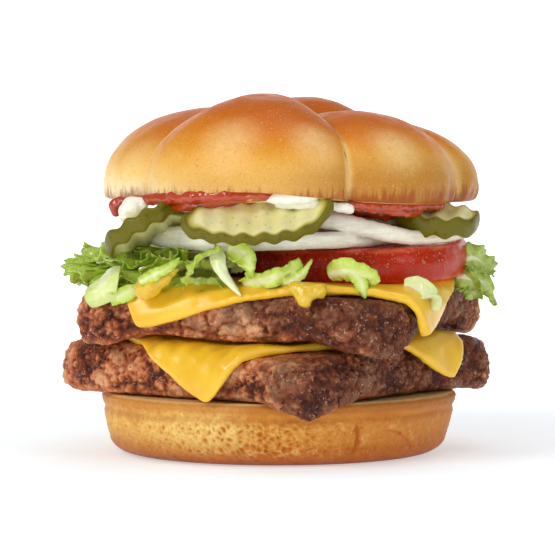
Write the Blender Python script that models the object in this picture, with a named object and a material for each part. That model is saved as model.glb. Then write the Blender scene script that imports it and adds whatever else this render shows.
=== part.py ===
"""Double cheeseburger with square patties: one closed solid for each separate piece of food.

Lengths here are millimetres, and mesh data is scaled to metres as it is made. +Z is up, the origin is the
middle of the flat face that the burger stands on, and the side that is dressed to be seen faces -Y.
"""

import math

import bmesh
import bpy
from mathutils import Matrix, Vector, noise

MM = 0.001
GAP = 0.4  # air kept between two pieces that rest on each other
CUT_GAP = 0.35  # how much larger than a piece the hole is that it leaves in a sauce or a leaf
DEG = math.radians(1)

# Lower half of the bun.
BASE_BUN_HEIGHT = 17.6
BASE_BUN_RADIUS = 51.0
BASE_BUN_FOOT_RADIUS = 41.0
BASE_BUN_FOOT_ROUND = 5.0
BASE_BUN_WAIST_RADIUS = 47.8
BASE_BUN_LIP_HEIGHT = 14.6

# Patties: rounded squares, turned about the upright axis.
PATTY_THICKNESS = 14.2
PATTY_RIM = 4.6
LOWER_PATTY = {"half": 48.0, "corner": 13.0, "turn": 53 * DEG, "x": 0.4, "y": 0.0}
UPPER_PATTY = {"half": 48.6, "corner": 12.5, "turn": 71 * DEG, "x": 1.6, "y": 0.0}
LOWER_PATTY_BOTTOM = BASE_BUN_HEIGHT + 0.6
LOWER_PATTY_TOP = LOWER_PATTY_BOTTOM + PATTY_THICKNESS

# Cheese: square slices draped over the patties, with the corners that overhang bent down.
CHEESE_THICKNESS = 2.1
CHEESE_BEND = 5.8
CHEESE_FOLD_INSIDE = 4.2
CHEESE_BEND_LIFT = 0.7
LOWER_CHEESE = {"half": 44.8, "turn": 22 * DEG, "x": -1.2, "y": -1.0}
UPPER_CHEESE = {"half": 45.2, "turn": -1.5 * DEG, "x": 4.3, "y": -4.0}
CHEESE_CORNER_LOSS = 0.035  # share of the half diagonal that a rounded corner loses

UPPER_PATTY_TOP = LOWER_PATTY_TOP + 2 * GAP + CHEESE_THICKNESS + 13.1
UPPER_CHEESE_TOP = UPPER_PATTY_TOP + GAP + CHEESE_THICKNESS

# Tomato slice.
TOMATO = {"x": 21.0, "y": -4.0, "radius": 34.0, "rim": 2.6}
TOMATO_THICKNESS = 9.0
TOMATO_MIDDLE = UPPER_CHEESE_TOP + 0.7 + TOMATO_THICKNESS / 2

# Upper half of the bun: five overlapping lobes.
TOP_BUN = {"x": 3.0, "y": 0.0, "base": 72.0, "core": 79.0}
TOP_BUN_LOBE_MIDDLE = 76.5


def smoothstep(value):
    """0 below 0, 1 above 1, and an S curve between."""
    value = min(max(value, 0.0), 1.0)
    return value * value * (3 - 2 * value)


def bump(distance, width):
    """1 at a distance of 0, falling off over the width."""
    return math.exp(-((distance / width) ** 2))


def angle_between(a, b):
    return abs((a - b + math.pi) % (2 * math.pi) - math.pi)


def wobble(x, y, z, size, seed):
    """Smooth noise from -1 to 1, with lumps of about the given size."""
    return noise.noise(Vector((x / size + 17.3 * seed, y / size - 9.1 * seed, z / size + 4.7 * seed)))


# ---------------------------------------------------------------- outlines

def square_reach(direction, spec):
    """Distance from the middle of a rounded square to its outline."""
    half, corner = spec["half"], spec["corner"]
    folded = abs((direction - spec["turn"] + math.pi / 4) % (math.pi / 2) - math.pi / 4)
    inner = half - corner
    if half * math.tan(folded) <= inner:
        return half / math.cos(folded)
    along = inner * (math.cos(folded) + math.sin(folded))
    return along + math.sqrt(along * along - 2 * inner * inner + corner * corner)


def square_distance(x, y, spec):
    """(distance outside a rounded square, outward direction x, outward direction y)."""
    cos_t, sin_t = math.cos(spec["turn"]), math.sin(spec["turn"])
    u = (x - spec["x"]) * cos_t + (y - spec["y"]) * sin_t
    v = (y - spec["y"]) * cos_t - (x - spec["x"]) * sin_t
    corner = spec.get("corner", 0.0)
    over_u, over_v = abs(u) - spec["half"] + corner, abs(v) - spec["half"] + corner
    if over_u > 0 and over_v > 0:
        length = math.hypot(over_u, over_v)
        normal_u, normal_v = over_u / length, over_v / length
    else:
        length = max(over_u, over_v)
        normal_u, normal_v = (1.0, 0.0) if over_u > over_v else (0.0, 1.0)
    normal_u, normal_v = math.copysign(normal_u, u), math.copysign(normal_v, v)
    return (
        length - corner,
        normal_u * cos_t - normal_v * sin_t,
        normal_u * sin_t + normal_v * cos_t,
    )


# ---------------------------------------------------------------- surfaces, bottom to top

def lower_sag(x, y):
    """How far the lower patty hangs where it reaches past the lower bun, most at its front corner."""
    reach, direction = math.hypot(x, y), math.atan2(y, x)
    past = max(0.0, (reach - 54.6) / 7.3)
    amount = (
        8.2 * bump(angle_between(direction, -82 * DEG), 0.45)
        + 2.6 * bump(angle_between(direction, 8 * DEG), 0.4)
        + 0.8 * bump(angle_between(direction, 188 * DEG), 0.4)
        + 2.5 * bump(angle_between(direction, 98 * DEG), 0.45)
    )
    return amount * past**0.9


def front_dip(x, y):
    """How much lower the two patties meet at the front, left of the middle."""
    return 2.0 * bump(x + 12, 28) * smoothstep((-y - 25) / 22)


def lower_patty_bottom(x, y):
    return LOWER_PATTY_BOTTOM - lower_sag(x, y)


def lower_patty_top(x, y):
    return LOWER_PATTY_TOP - 0.55 * lower_sag(x, y) - front_dip(x, y)


def upper_sag(x, y):
    """How far the upper patty hangs where it reaches past the lower one."""
    past = max(0.0, (square_distance(x, y, LOWER_PATTY)[0] + 0.5) / 9)
    direction = math.atan2(y, x)
    amount = (
        4.2 * bump(angle_between(direction, -64 * DEG), 0.5)
        + 2.0 * bump(angle_between(direction, 206 * DEG), 0.5)
        + 2.0 * bump(angle_between(direction, 26 * DEG), 0.5)
        + 2.0 * bump(angle_between(direction, 116 * DEG), 0.5)
    )
    return amount * min(past, 1.3) ** 1.2


def upper_patty_bottom(x, y):
    """It lies on the cheese, and comes down to the lower patty where there is no cheese."""
    on_cheese = 1 - smoothstep((square_distance(x, y, LOWER_CHEESE)[0] - 4) / 6)
    bed = LOWER_PATTY_TOP + GAP + (CHEESE_THICKNESS + CHEESE_BEND_LIFT + GAP) * on_cheese
    return bed - upper_sag(x, y) - front_dip(x, y)


def upper_patty_top(x, y):
    """Its front is pressed a little lower by the tomato."""
    return UPPER_PATTY_TOP - 0.6 * upper_sag(x, y) - 1.3 * smoothstep((-y - 10) / 26)


def tomato_middle(x, y):
    """The slice dips to the front and lies nearly level behind."""
    slope = 0.036 if y < 0 else 0.01
    return TOMATO_MIDDLE + slope * y + 0.01 * abs(x - TOMATO["x"])


def tomato_top(x, y):
    return tomato_middle(x, y) + TOMATO_THICKNESS / 2


def top_bun_base(x, y):
    """Height of the top bun's cut face, which is lifted over the front pickle."""
    lift = 3.3 * bump(x + 9, 24) * bump(y + 50, 17)
    return TOP_BUN["base"] + lift - 0.9 * smoothstep((x - 15) / 40)


# ---------------------------------------------------------------- building

def new_material(name, color, roughness, metallic=0.0):
    material = bpy.data.materials.new(name)
    material.use_nodes = True
    shader = material.node_tree.nodes["Principled BSDF"]
    shader.inputs["Base Color"].default_value = (*color, 1.0)
    shader.inputs["Roughness"].default_value = roughness
    shader.inputs["Metallic"].default_value = metallic
    return material


def add_object(name, bm, material):
    bmesh.ops.recalc_face_normals(bm, faces=bm.faces)
    mesh = bpy.data.meshes.new(name)
    bm.to_mesh(mesh)
    bm.free()
    mesh.shade_smooth()
    mesh.materials.append(material)
    obj = bpy.data.objects.new(name, mesh)
    bpy.context.scene.collection.objects.link(obj)
    return obj


def pressed_ball(name, segments, rings, shape, material):
    """A ball whose every point is moved to shape(longitude, latitude), in millimetres."""
    bm = bmesh.new()
    bmesh.ops.create_uvsphere(bm, u_segments=segments, v_segments=rings, radius=1)
    for vert in bm.verts:
        longitude = math.atan2(vert.co.y, vert.co.x)
        latitude = math.asin(max(-1.0, min(1.0, vert.co.z)))
        vert.co = Vector(shape(longitude, latitude)) * MM
    return add_object(name, bm, material)


RIM_LATITUDE = 50 * DEG


def slab_section(latitude, reach, rim):
    """(distance from the axis, rise from -1 to 1) on a flat slab with a rounded rim."""
    side = math.copysign(1.0, latitude)
    if abs(latitude) > RIM_LATITUDE:
        share = (math.pi / 2 - abs(latitude)) / (math.pi / 2 - RIM_LATITUDE)
        return (reach - rim) * share**0.35, side
    around = abs(latitude) / RIM_LATITUDE * math.pi / 2
    return reach - rim + rim * math.cos(around), side * math.sin(around)


def slab_point(longitude, latitude, spec, reach, bottom, top):
    """A point on a slab that lies between two surfaces."""
    radius, rise = slab_section(latitude, reach, spec["rim"])
    x = spec["x"] + radius * math.cos(longitude)
    y = spec["y"] + radius * math.sin(longitude)
    low, high = bottom(x, y), top(x, y)
    return x, y, low + (high - low) * (rise + 1) / 2


# ---------------------------------------------------------------- bun

def base_bun_wall_radius(z):
    """Radius of the lower bun's side: a rounded foot, a flaring wall, and a crease under the lip."""
    if z < BASE_BUN_FOOT_ROUND:
        share = 1 - z / BASE_BUN_FOOT_ROUND
        return BASE_BUN_FOOT_RADIUS + (BASE_BUN_WAIST_RADIUS - BASE_BUN_FOOT_RADIUS) * math.sqrt(1 - share * share)
    share = (z - BASE_BUN_FOOT_ROUND) / (BASE_BUN_HEIGHT - BASE_BUN_FOOT_ROUND)
    crease = 0.5 * bump(z - BASE_BUN_LIP_HEIGHT, 1.0)
    edge = 1.3 * max(0.0, (z - BASE_BUN_HEIGHT + 1.6) / 1.6) ** 2
    return BASE_BUN_WAIST_RADIUS + (BASE_BUN_RADIUS - BASE_BUN_WAIST_RADIUS) * share**0.8 - crease - edge


def base_bun_point(longitude, latitude):
    if abs(latitude) > RIM_LATITUDE:
        z = BASE_BUN_HEIGHT if latitude > 0 else 0.0
        share = (math.pi / 2 - abs(latitude)) / (math.pi / 2 - RIM_LATITUDE)
        radius = base_bun_wall_radius(z) * share
    else:
        z = BASE_BUN_HEIGHT * (0.5 + 0.5 * math.sin(latitude / RIM_LATITUDE * math.pi / 2))
        radius = base_bun_wall_radius(z)
    out = math.cos(longitude), math.sin(longitude)
    uneven = 0.8 * wobble(30 * out[0], 30 * out[1], z, 24, 1) * smoothstep(z / 4)
    radius += uneven * radius / BASE_BUN_RADIUS
    return radius * out[0], radius * out[1], z


# Each lobe: the direction it points in, half the angle it fills, how far out its middle is, its half length, its
# height. The front one comes first, then anticlockwise.
LOBES = (
    (-109.5, 38.5, 19.0, 32.2, 24.4),
    (-36.0, 34.0, 21.0, 29.5, 20.8),
    (17.0, 25.0, 23.0, 32.6, 18.4),
    (78.0, 37.0, 21.0, 30.5, 24.6),
    (163.5, 48.0, 21.5, 31.4, 21.6),
)


def lobe_reach(direction, azimuth, half_angle, offset, long, tall):
    """How far from the top bun's core one lobe reaches: an egg in section, drawn in towards its two sides."""
    flat = math.hypot(direction.x, direction.y)
    aside = angle_between(math.atan2(direction.y, direction.x), azimuth * DEG) / (half_angle * DEG)
    aside *= smoothstep(flat / 0.2)
    dx, dz = flat / long, direction.z / tall
    ox, oz = -offset / long, (TOP_BUN["core"] - TOP_BUN_LOBE_MIDDLE) / tall
    a, b, c = dx * dx + dz * dz, dx * ox + dz * oz, ox * ox + oz * oz - 1
    egg = (-b + math.sqrt(b * b - a * c)) / a
    drawn_in = 0.085 + 0.13 * smoothstep(direction.z / 0.75)
    return egg * (1 - drawn_in * min(aside, 2.0) ** 2.5)


def top_bun_point(longitude, latitude):
    """The far wall of five overlapping lobes, cut off by its cut face."""
    if latitude < 0:
        latitude = -math.atan(math.tan(min(-latitude, 89.9 * DEG)) * 0.25)
    direction = Vector(
        (
            math.cos(latitude) * math.cos(longitude),
            math.cos(latitude) * math.sin(longitude),
            math.sin(latitude),
        )
    )
    blend = 1.3
    reaches = [lobe_reach(direction, *lobe) for lobe in LOBES]
    longest = max(reaches)
    reach = longest + math.log(sum(math.exp(blend * (r - longest)) for r in reaches)) / blend
    if direction.z < -1e-4:
        to_base = reach
        for _ in range(4):
            x = TOP_BUN["x"] + direction.x * to_base
            y = TOP_BUN["y"] + direction.y * to_base
            to_base = (TOP_BUN["core"] - top_bun_base(x, y)) / -direction.z
            to_base = min(to_base, 4 * reach)
        soft = 0.45
        shorter = min(reach, to_base)
        reach = shorter - math.log(
            math.exp(-soft * (reach - shorter)) + math.exp(-soft * (to_base - shorter))
        ) / soft
    return (
        TOP_BUN["x"] + direction.x * reach,
        TOP_BUN["y"] + direction.y * reach,
        TOP_BUN["core"] + direction.z * reach,
    )


# ---------------------------------------------------------------- patties, cheese, tomato

def patty_shape(spec, bottom, top, seed):
    spec = {**spec, "rim": PATTY_RIM}

    def shape(longitude, latitude):
        reach = square_reach(longitude, spec)
        uneven = wobble(40 * math.cos(longitude), 40 * math.sin(longitude), 6 * latitude, 11, seed)
        reach -= 1.1 * max(0.0, 0.35 + uneven) * math.cos(latitude)
        return slab_point(longitude, latitude, spec, reach, bottom, top)

    return shape


def tomato_point(longitude, latitude):
    """A slice with a slightly squared outline."""
    squared = 1 + 0.03 * math.cos(4 * (longitude + 20 * DEG)) * -1
    reach = TOMATO["radius"] * squared
    return slab_point(
        longitude, latitude, TOMATO, reach, lambda x, y: tomato_middle(x, y) - TOMATO_THICKNESS / 2, tomato_top
    )


def drape(x, y, patty, patty_top, lift):
    """Where a point of a flat slice ends when the slice bends down over a patty's edge."""
    outside, normal_x, normal_y = square_distance(x, y, patty)
    along = outside + CHEESE_FOLD_INSIDE
    if along <= 0:
        return x, y, patty_top(x, y) + GAP + lift
    steepest = 84 * DEG
    turned = min(along / CHEESE_BEND, steepest)
    straight = along - CHEESE_BEND * turned
    out = CHEESE_BEND * math.sin(turned) + straight * math.cos(turned)
    down = CHEESE_BEND * (1 - math.cos(turned)) + straight * math.sin(turned)
    out += lift * math.sin(turned)
    down -= lift * math.cos(turned)
    down -= CHEESE_BEND_LIFT * min(1.0, turned)
    base_x, base_y = x - normal_x * along, y - normal_y * along
    return base_x + normal_x * out, base_y + normal_y * out, patty_top(base_x, base_y) + GAP - down


def cheese_slice(name, spec, patty, patty_top, material, cells=14):
    """A square sheet with finer cells towards its edge, draped and given its thickness."""
    bm = bmesh.new()
    bmesh.ops.create_grid(bm, x_segments=cells, y_segments=cells, size=1)
    result = bmesh.ops.extrude_face_region(bm, geom=bm.faces[:])
    raised = {v for v in result["geom"] if isinstance(v, bmesh.types.BMVert)}
    cos_t, sin_t = math.cos(spec["turn"]), math.sin(spec["turn"])
    for vert in bm.verts:
        rounded = 1 - CHEESE_CORNER_LOSS * abs(vert.co.x * vert.co.y) ** 5
        u, v = (math.copysign(abs(c) ** 0.6, c) * spec["half"] * rounded for c in vert.co.xy)
        x = spec["x"] + u * cos_t - v * sin_t
        y = spec["y"] + u * sin_t + v * cos_t
        lift = CHEESE_THICKNESS if vert in raised else 0.0
        vert.co = Vector(drape(x, y, patty, patty_top, lift)) * MM
    return add_object(name, bm, material)


# ---------------------------------------------------------------- onion and pickle

RINGS = {
    "onion_ring_lower": {
        "x": -0.5, "y": -3.0, "across": 37.5, "deep": 37.5, "wall": 3.2, "tall": 4.0, "low_right": 0.3, "tall_front": 2.4
    },
    "onion_ring_upper": {
        "x": 20.0, "y": -3.0, "across": 33.0, "deep": 32.0, "wall": 3.2, "tall": 4.6, "low_right": 2.0, "tall_front": 0.0
    },
}


def lower_ring_middle(x, y, tall):
    return tomato_top(x, y) + GAP + tall / 2 + 0.8 * smoothstep((x + 30) / -20)


def upper_ring_middle(x, y, tall):
    """High on the left where it rides on the other ring, and down on the tomato at the right."""
    high = 67.8 - 6.2 * smoothstep((x - 8) / 36) + 0.02 * max(0.0, y)
    resting = tomato_top(x, y) + GAP + 0.2 + tall / 2
    return max(high, resting)


def onion_ring(name, spec, middle, material, segments=30):
    """A flat-walled ring, spun from its wall's section and laid over what is under it."""
    bm = bmesh.new()
    section = bmesh.ops.create_circle(bm, cap_ends=False, segments=6, radius=1)["verts"]
    flat_radius = 10.0
    for vert in section:
        around = math.atan2(vert.co.y, vert.co.x)
        vert.co = Vector((flat_radius + math.cos(around), 0.0, math.sin(around)))
    bmesh.ops.spin(
        bm,
        geom=bm.verts[:] + bm.edges[:],
        angle=2 * math.pi,
        steps=segments,
        axis=(0, 0, 1),
        cent=(0, 0, 0),
        use_merge=True,
    )
    bmesh.ops.remove_doubles(bm, verts=bm.verts, dist=1e-4)
    for vert in bm.verts:
        angle = math.atan2(vert.co.y, vert.co.x)
        offset = math.hypot(vert.co.x, vert.co.y) - flat_radius
        cos_a, sin_a = math.cos(angle), math.sin(angle)
        tall = spec["tall"] - 1.1 * smoothstep(0.5 + 0.7 * sin_a) - spec["low_right"] * smoothstep(cos_a)
        tall += spec["tall_front"] * bump(angle_between(angle, -118 * DEG), 0.55)
        uneven = 1 + 0.035 * wobble(2 * cos_a, 2 * sin_a, 0, 1.1, spec["across"])
        path_x = spec["x"] + spec["across"] * uneven * cos_a
        path_y = spec["y"] + spec["deep"] * uneven * sin_a
        x = path_x + offset * spec["wall"] / 2 * cos_a
        y = path_y + offset * spec["wall"] / 2 * sin_a
        z = middle(path_x, path_y, tall) + vert.co.z * tall / 2 * 1.15
        vert.co = Vector((x, y, z)) * MM
    return add_object(name, bm, material)


# Crinkle-cut chips: half sizes, thickness, place, turn about X, Y and Z, and how far one end curls up.
CHIPS = {
    "pickle_front": {
        "half": (21.0, 9.2), "thick": 3.2, "at": (-5.5, -47.1, 66.4), "turn": (36, -3, 2), "curl": 2.2
    },
    "pickle_left": {
        "half": (13.0, 13.5), "thick": 3.5, "at": (-40.4, -28.5, 65.0), "turn": (-3, -28, 6), "curl": 0.0
    },
    "pickle_right": {
        "half": (12.5, 13.5), "thick": 4.1, "at": (44.2, -17.6, 67.35), "turn": (8, 5, -8), "curl": 0.0
    },
    "pickle_back": {
        "half": (12.0, 12.5), "thick": 3.0, "at": (33.0, 17.0, 68.7), "turn": (-1, 4, 12), "curl": 0.0
    },
}
CRINKLE_LENGTH = 5.6
CRINKLE_HEIGHT = 0.45


def place(obj, at, turn):
    obj.location = Vector(at) * MM
    obj.rotation_euler = [angle * DEG for angle in turn]
    return obj


def pickle_chip(name, spec, material):
    half_x, half_y = spec["half"]

    def shape(longitude, latitude):
        reach = half_x * half_y / math.hypot(half_y * math.cos(longitude), half_x * math.sin(longitude))
        radius, rise = slab_section(latitude, reach, 0.9)
        x, y = radius * math.cos(longitude), radius * math.sin(longitude)
        wave = CRINKLE_HEIGHT * math.sin(2 * math.pi * x / CRINKLE_LENGTH)
        curl = spec["curl"] * max(0.0, (x - 0.55 * half_x) / (0.45 * half_x)) ** 2
        return x, y, rise * spec["thick"] / 2 + wave + curl

    return place(pressed_ball(name, 26, 6, shape, material), spec["at"], spec["turn"])


# ---------------------------------------------------------------- lettuce

LETTUCE = {"x": -6.0, "y": 6.0, "rim": 3.0}


def lettuce_reach(direction):
    """Wide at the left, behind and to the right, and short under the tomato's front."""
    front_right = bump(angle_between(direction, -48 * DEG), 0.95)
    reach = 52 + 9 * bump(angle_between(direction, 4 * DEG), 0.35) - 33 * front_right
    ragged = 1.6 * math.sin(9 * direction + 0.6) + 1.1 * math.sin(17 * direction + 2.1)
    return reach + ragged * (1 - front_right)


def lettuce_top(x, y):
    heap = 59.4 + 1.0 * wobble(x, y, 0, 9, 5)
    heap -= 2.6 * smoothstep((-y - 26) / 14)
    return heap + 0.8 * bump(x - 52, 8)


def lettuce_bottom(x, y):
    return UPPER_CHEESE_TOP + GAP + 0.5 * smoothstep((abs(x) - 46) / 8)


def lettuce_bed_point(longitude, latitude):
    return slab_point(longitude, latitude, LETTUCE, lettuce_reach(longitude), lettuce_bottom, lettuce_top)


# Loose leaf pieces at the front: half width, half height, thickness, bow, place and turn.
LEAVES = {
    "lettuce_rib_left": {
        "half": (8.6, 4.6), "thick": 2.2, "bow": 1.2, "at": (-45.5, -37.5, 50.4), "turn": (62, 33, -14)
    },
    "lettuce_leaf_middle": {
        "half": (4.2, 7.2), "thick": 1.3, "bow": 1.2, "at": (-13.2, -47.6, 55.6), "turn": (78, 9, 0)
    },
    "lettuce_leaf_front": {
        "half": (7.4, 3.2), "thick": 1.2, "bow": 1.4, "at": (1.2, -45.4, 54.0), "turn": (72, -16, 6)
    },
    "lettuce_leaf_right": {
        "half": (6.9, 5.4), "thick": 1.3, "bow": 3.2, "at": (20.6, -46.6, 53.4), "turn": (64, 8, 0)
    },
    "lettuce_rib_right": {
        "half": (5.4, 3.8), "thick": 1.8, "bow": 1.0, "at": (41.6, -42.2, 48.4), "turn": (50, 40, 0)
    },
    "lettuce_leaf_far_right": {
        "half": (8.5, 7.6), "thick": 1.6, "bow": 1.0, "at": (57.4, 0.6, 50.2), "turn": (84, 0, 70)
    },
}


def leaf_piece(name, spec, material):
    half_x, half_y = spec["half"]

    def shape(longitude, latitude):
        reach = half_x * half_y / math.hypot(half_y * math.cos(longitude), half_x * math.sin(longitude))
        reach *= 1 + 0.10 * math.cos(3 * longitude + half_x)
        radius, rise = slab_section(latitude, reach, 0.5)
        x, y = radius * math.cos(longitude), radius * math.sin(longitude)
        bow = -spec["bow"] * (x / half_x) ** 2
        return x, y, rise * spec["thick"] / 2 + bow

    return place(pressed_ball(name, 16, 6, shape, material), spec["at"], spec["turn"])


# ---------------------------------------------------------------- sauces

# Drops and smears: half sizes, place and turn.
DOLLOPS = {
    "mustard_left": {"half": (5.6, 4.0, 3.4), "at": (-33.6, -44.6, 50.6), "turn": (0, -34, 12)},
    "mustard_front": {"half": (5.0, 3.6, 3.6), "at": (8.2, -54.6, 47.4), "turn": (-20, 0, 0)},
    "ketchup_left": {"half": (3.2, 4.4, 2.4), "at": (-45.2, -20.5, 70.3), "turn": (0, -12, 0)},
    "mayo_left": {"half": (5.0, 4.6, 3.4), "at": (-41.6, -28.6, 69.6), "turn": (0, -34, 0)},
    "mayo_front": {"half": (14.5, 5.2, 2.4), "at": (6.6, -45.2, 72.5), "turn": (8, -3, 6)},
}


def dollop(name, spec, material):
    def shape(longitude, latitude):
        soft = 1 + 0.08 * wobble(2 * math.cos(longitude), 2 * math.sin(longitude), 2 * latitude, 1.7, 3)
        return (
            spec["half"][0] * soft * math.cos(latitude) * math.cos(longitude),
            spec["half"][1] * soft * math.cos(latitude) * math.sin(longitude),
            spec["half"][2] * soft * math.sin(latitude),
        )

    return place(pressed_ball(name, 14, 9, shape, material), spec["at"], spec["turn"])


KETCHUP = {"x": 2.0, "y": -2.0, "rim": 1.0}


def ketchup_reach(direction):
    return (
        38
        + 10.5 * bump(angle_between(direction, -122 * DEG), 0.42)
        + 9.0 * bump(angle_between(direction, -38 * DEG), 0.40)
        + 1.5 * math.sin(5 * direction)
    )


def ketchup_top(x, y):
    return top_bun_base(x, y) - 2 * GAP


def ketchup_bottom(x, y):
    reach, direction = math.hypot(x, y), math.atan2(y, x)
    at_edge = smoothstep((reach - 36) / 8)
    thick = 0.7 + at_edge * (
        2.6 * bump(angle_between(direction, -116 * DEG), 0.35)
        + 2.4 * bump(angle_between(direction, -38 * DEG), 0.35)
    )
    return ketchup_top(x, y) - thick


def ketchup_point(longitude, latitude):
    return slab_point(longitude, latitude, KETCHUP, ketchup_reach(longitude), ketchup_bottom, ketchup_top)


# ---------------------------------------------------------------- cutting soft pieces round firm ones

def cutter_for(obj):
    """A copy of a piece, grown by CUT_GAP, that stays out of the render."""
    name = f"cutter_{obj.name}"
    found = bpy.data.objects.get(name)
    if found:
        return found
    bm = bmesh.new()
    bm.from_mesh(obj.data)
    bm.transform(Matrix.LocRotScale(obj.location, obj.rotation_euler, None))
    bm.normal_update()
    for vert in bm.verts:
        vert.co += vert.normal * min(vert.calc_shell_factor(), 1.5) * CUT_GAP * MM
    cutter = add_object(name, bm, obj.data.materials[0])
    cutter.hide_render = True
    cutter.display_type = "WIRE"
    return cutter


def cut_round(obj, *others):
    """Cuts a soft piece round its firm neighbours."""
    for other in others:
        cut = obj.modifiers.new(f"round_{other.name}", "BOOLEAN")
        cut.operation = "DIFFERENCE"
        cut.solver = "MANIFOLD"  # EXACT leaves some of these thin, nearly parallel layers empty
        cut.object = cutter_for(other)


def main():
    for obj in list(bpy.data.objects):
        bpy.data.objects.remove(obj)

    crust = new_material("crust", (0.78, 0.42, 0.13), 0.45)
    beef = new_material("beef", (0.16, 0.055, 0.028), 0.5)
    cheese = new_material("cheese", (0.93, 0.56, 0.07), 0.35)
    tomato_red = new_material("tomato", (0.55, 0.03, 0.02), 0.3)
    leaf = new_material("leaf", (0.33, 0.5, 0.06), 0.4)
    onion = new_material("onion", (0.86, 0.84, 0.72), 0.3)
    pickle = new_material("pickle", (0.42, 0.4, 0.1), 0.3)
    ketchup_red = new_material("ketchup", (0.42, 0.03, 0.01), 0.15)
    mayo = new_material("mayo", (0.92, 0.9, 0.82), 0.25)
    mustard = new_material("mustard", (0.9, 0.6, 0.05), 0.2)
    sauces = {"ketchup": ketchup_red, "mayo": mayo, "mustard": mustard}

    pressed_ball("bun_bottom", 36, 13, base_bun_point, crust)
    lower_patty = pressed_ball(
        "patty_lower", 44, 13, patty_shape(LOWER_PATTY, lower_patty_bottom, lower_patty_top, 2), beef
    )
    lower_cheese = cheese_slice("cheese_lower", LOWER_CHEESE, LOWER_PATTY, lower_patty_top, cheese)
    upper_patty = pressed_ball(
        "patty_upper", 44, 13, patty_shape(UPPER_PATTY, upper_patty_bottom, upper_patty_top, 3), beef
    )
    upper_cheese = cheese_slice("cheese_upper", UPPER_CHEESE, UPPER_PATTY, upper_patty_top, cheese)
    tomato = pressed_ball("tomato_slice", 36, 8, tomato_point, tomato_red)
    rings = {
        name: onion_ring(name, spec, middle, onion)
        for (name, spec), middle in zip(RINGS.items(), (lower_ring_middle, upper_ring_middle))
    }
    chips = {name: pickle_chip(name, spec, pickle) for name, spec in CHIPS.items()}
    top_bun = pressed_ball("bun_top", 40, 16, top_bun_point, crust)
    lettuce = pressed_ball("lettuce_bed", 34, 8, lettuce_bed_point, leaf)
    leaves = {name: leaf_piece(name, spec, leaf) for name, spec in LEAVES.items()}
    drops = {
        name: dollop(name, spec, sauces[name.split("_")[0]])
        for name, spec in DOLLOPS.items()
    }
    ketchup = pressed_ball("ketchup", 32, 8, ketchup_point, ketchup_red)

    cut_round(lettuce, tomato, rings["onion_ring_lower"], chips["pickle_left"])
    for piece in leaves.values():
        cut_round(piece, upper_cheese, upper_patty, tomato, rings["onion_ring_lower"])
    cut_round(drops["mustard_left"], upper_cheese, upper_patty, leaves["lettuce_rib_left"])
    cut_round(drops["mustard_front"], upper_cheese, upper_patty)
    cut_round(drops["mayo_left"], top_bun, chips["pickle_left"])
    cut_round(drops["mayo_front"], top_bun, chips["pickle_front"], rings["onion_ring_upper"])
    cut_round(drops["ketchup_left"], top_bun, chips["pickle_left"], drops["mayo_left"])
    cut_round(ketchup, top_bun, *chips.values(), drops["mayo_front"])


main()
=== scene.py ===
"""Finished looks for the double cheeseburger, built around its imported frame.

Lengths in the modelling code are millimetres, and a mesh is scaled to metres when it is made into
an object. The burger stands on z = 0 and its dressed side faces -Y.
"""

import math
import random

import bmesh
import bpy
from bpy.props import FloatProperty, FloatVectorProperty, IntProperty, PointerProperty
from mathutils import Euler, Matrix, Vector, noise


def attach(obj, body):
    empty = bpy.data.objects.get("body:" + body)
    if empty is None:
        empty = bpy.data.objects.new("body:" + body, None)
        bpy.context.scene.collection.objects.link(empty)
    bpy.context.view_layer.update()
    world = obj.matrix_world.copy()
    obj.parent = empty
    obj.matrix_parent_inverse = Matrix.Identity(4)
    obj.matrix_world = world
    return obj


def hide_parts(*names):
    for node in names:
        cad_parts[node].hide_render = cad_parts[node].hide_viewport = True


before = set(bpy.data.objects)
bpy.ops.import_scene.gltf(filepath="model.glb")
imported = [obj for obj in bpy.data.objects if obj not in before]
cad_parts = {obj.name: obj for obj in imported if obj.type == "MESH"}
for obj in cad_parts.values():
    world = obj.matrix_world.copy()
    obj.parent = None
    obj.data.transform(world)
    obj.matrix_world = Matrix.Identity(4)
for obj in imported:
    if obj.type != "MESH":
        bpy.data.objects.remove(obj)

bl_info = {
    "name": "Double Cheeseburger",
    "version": (1, 0, 0),
    "blender": (4, 5, 0),
    "location": "View3D > Sidebar > Burger",
    "description": "Builds the bun, patties, cheese, salad and sauces of a double cheeseburger",
    "category": "Add Mesh",
}

MM = 0.001
DEG = math.radians(1)
FRONT_LEFT = -100 * DEG
WARP_SEED = 1795151650  # noise_vector() would otherwise follow the clock and give a new relief each run


# ---------------------------------------------------------------- settings

def tone(red, green, blue):
    """A linear colour from the 0 to 255 values of a colour picker."""
    return tuple(
        c / 12.92 if c <= 0.04045 else ((c + 0.055) / 1.055) ** 2.4
        for c in (red / 255, green / 255, blue / 255)
    )


def color_setting(name, description, *rgb):
    return FloatVectorProperty(
        name=name, description=description, subtype="COLOR", size=3, min=0, max=1, default=tone(*rgb)
    )


def length_setting(name, description, default):
    return FloatProperty(name=name, description=description, default=default, unit="LENGTH", precision=5)


class BunSettings(bpy.types.PropertyGroup):
    top_color: color_setting("Top", "Colour of the deepest browned crust", 202, 100, 8)
    side_color: color_setting("Side", "Colour of the golden crust on the sides", 222, 148, 46)
    pale_color: color_setting("Pale", "Colour of the crust that hardly browned", 252, 234, 188)
    foot_color: color_setting("Foot", "Colour of the toasted edge that sat in the pan", 176, 88, 24)
    crumb_color: color_setting("Crumb", "Colour of the cut face", 240, 200, 136)
    wrinkle: length_setting("Wrinkle", "Depth of the wrinkles in the lower half's skin", 0.0006)
    crease: length_setting("Crease", "Depth of the folds between the top's lobes", 0.0016)


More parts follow.
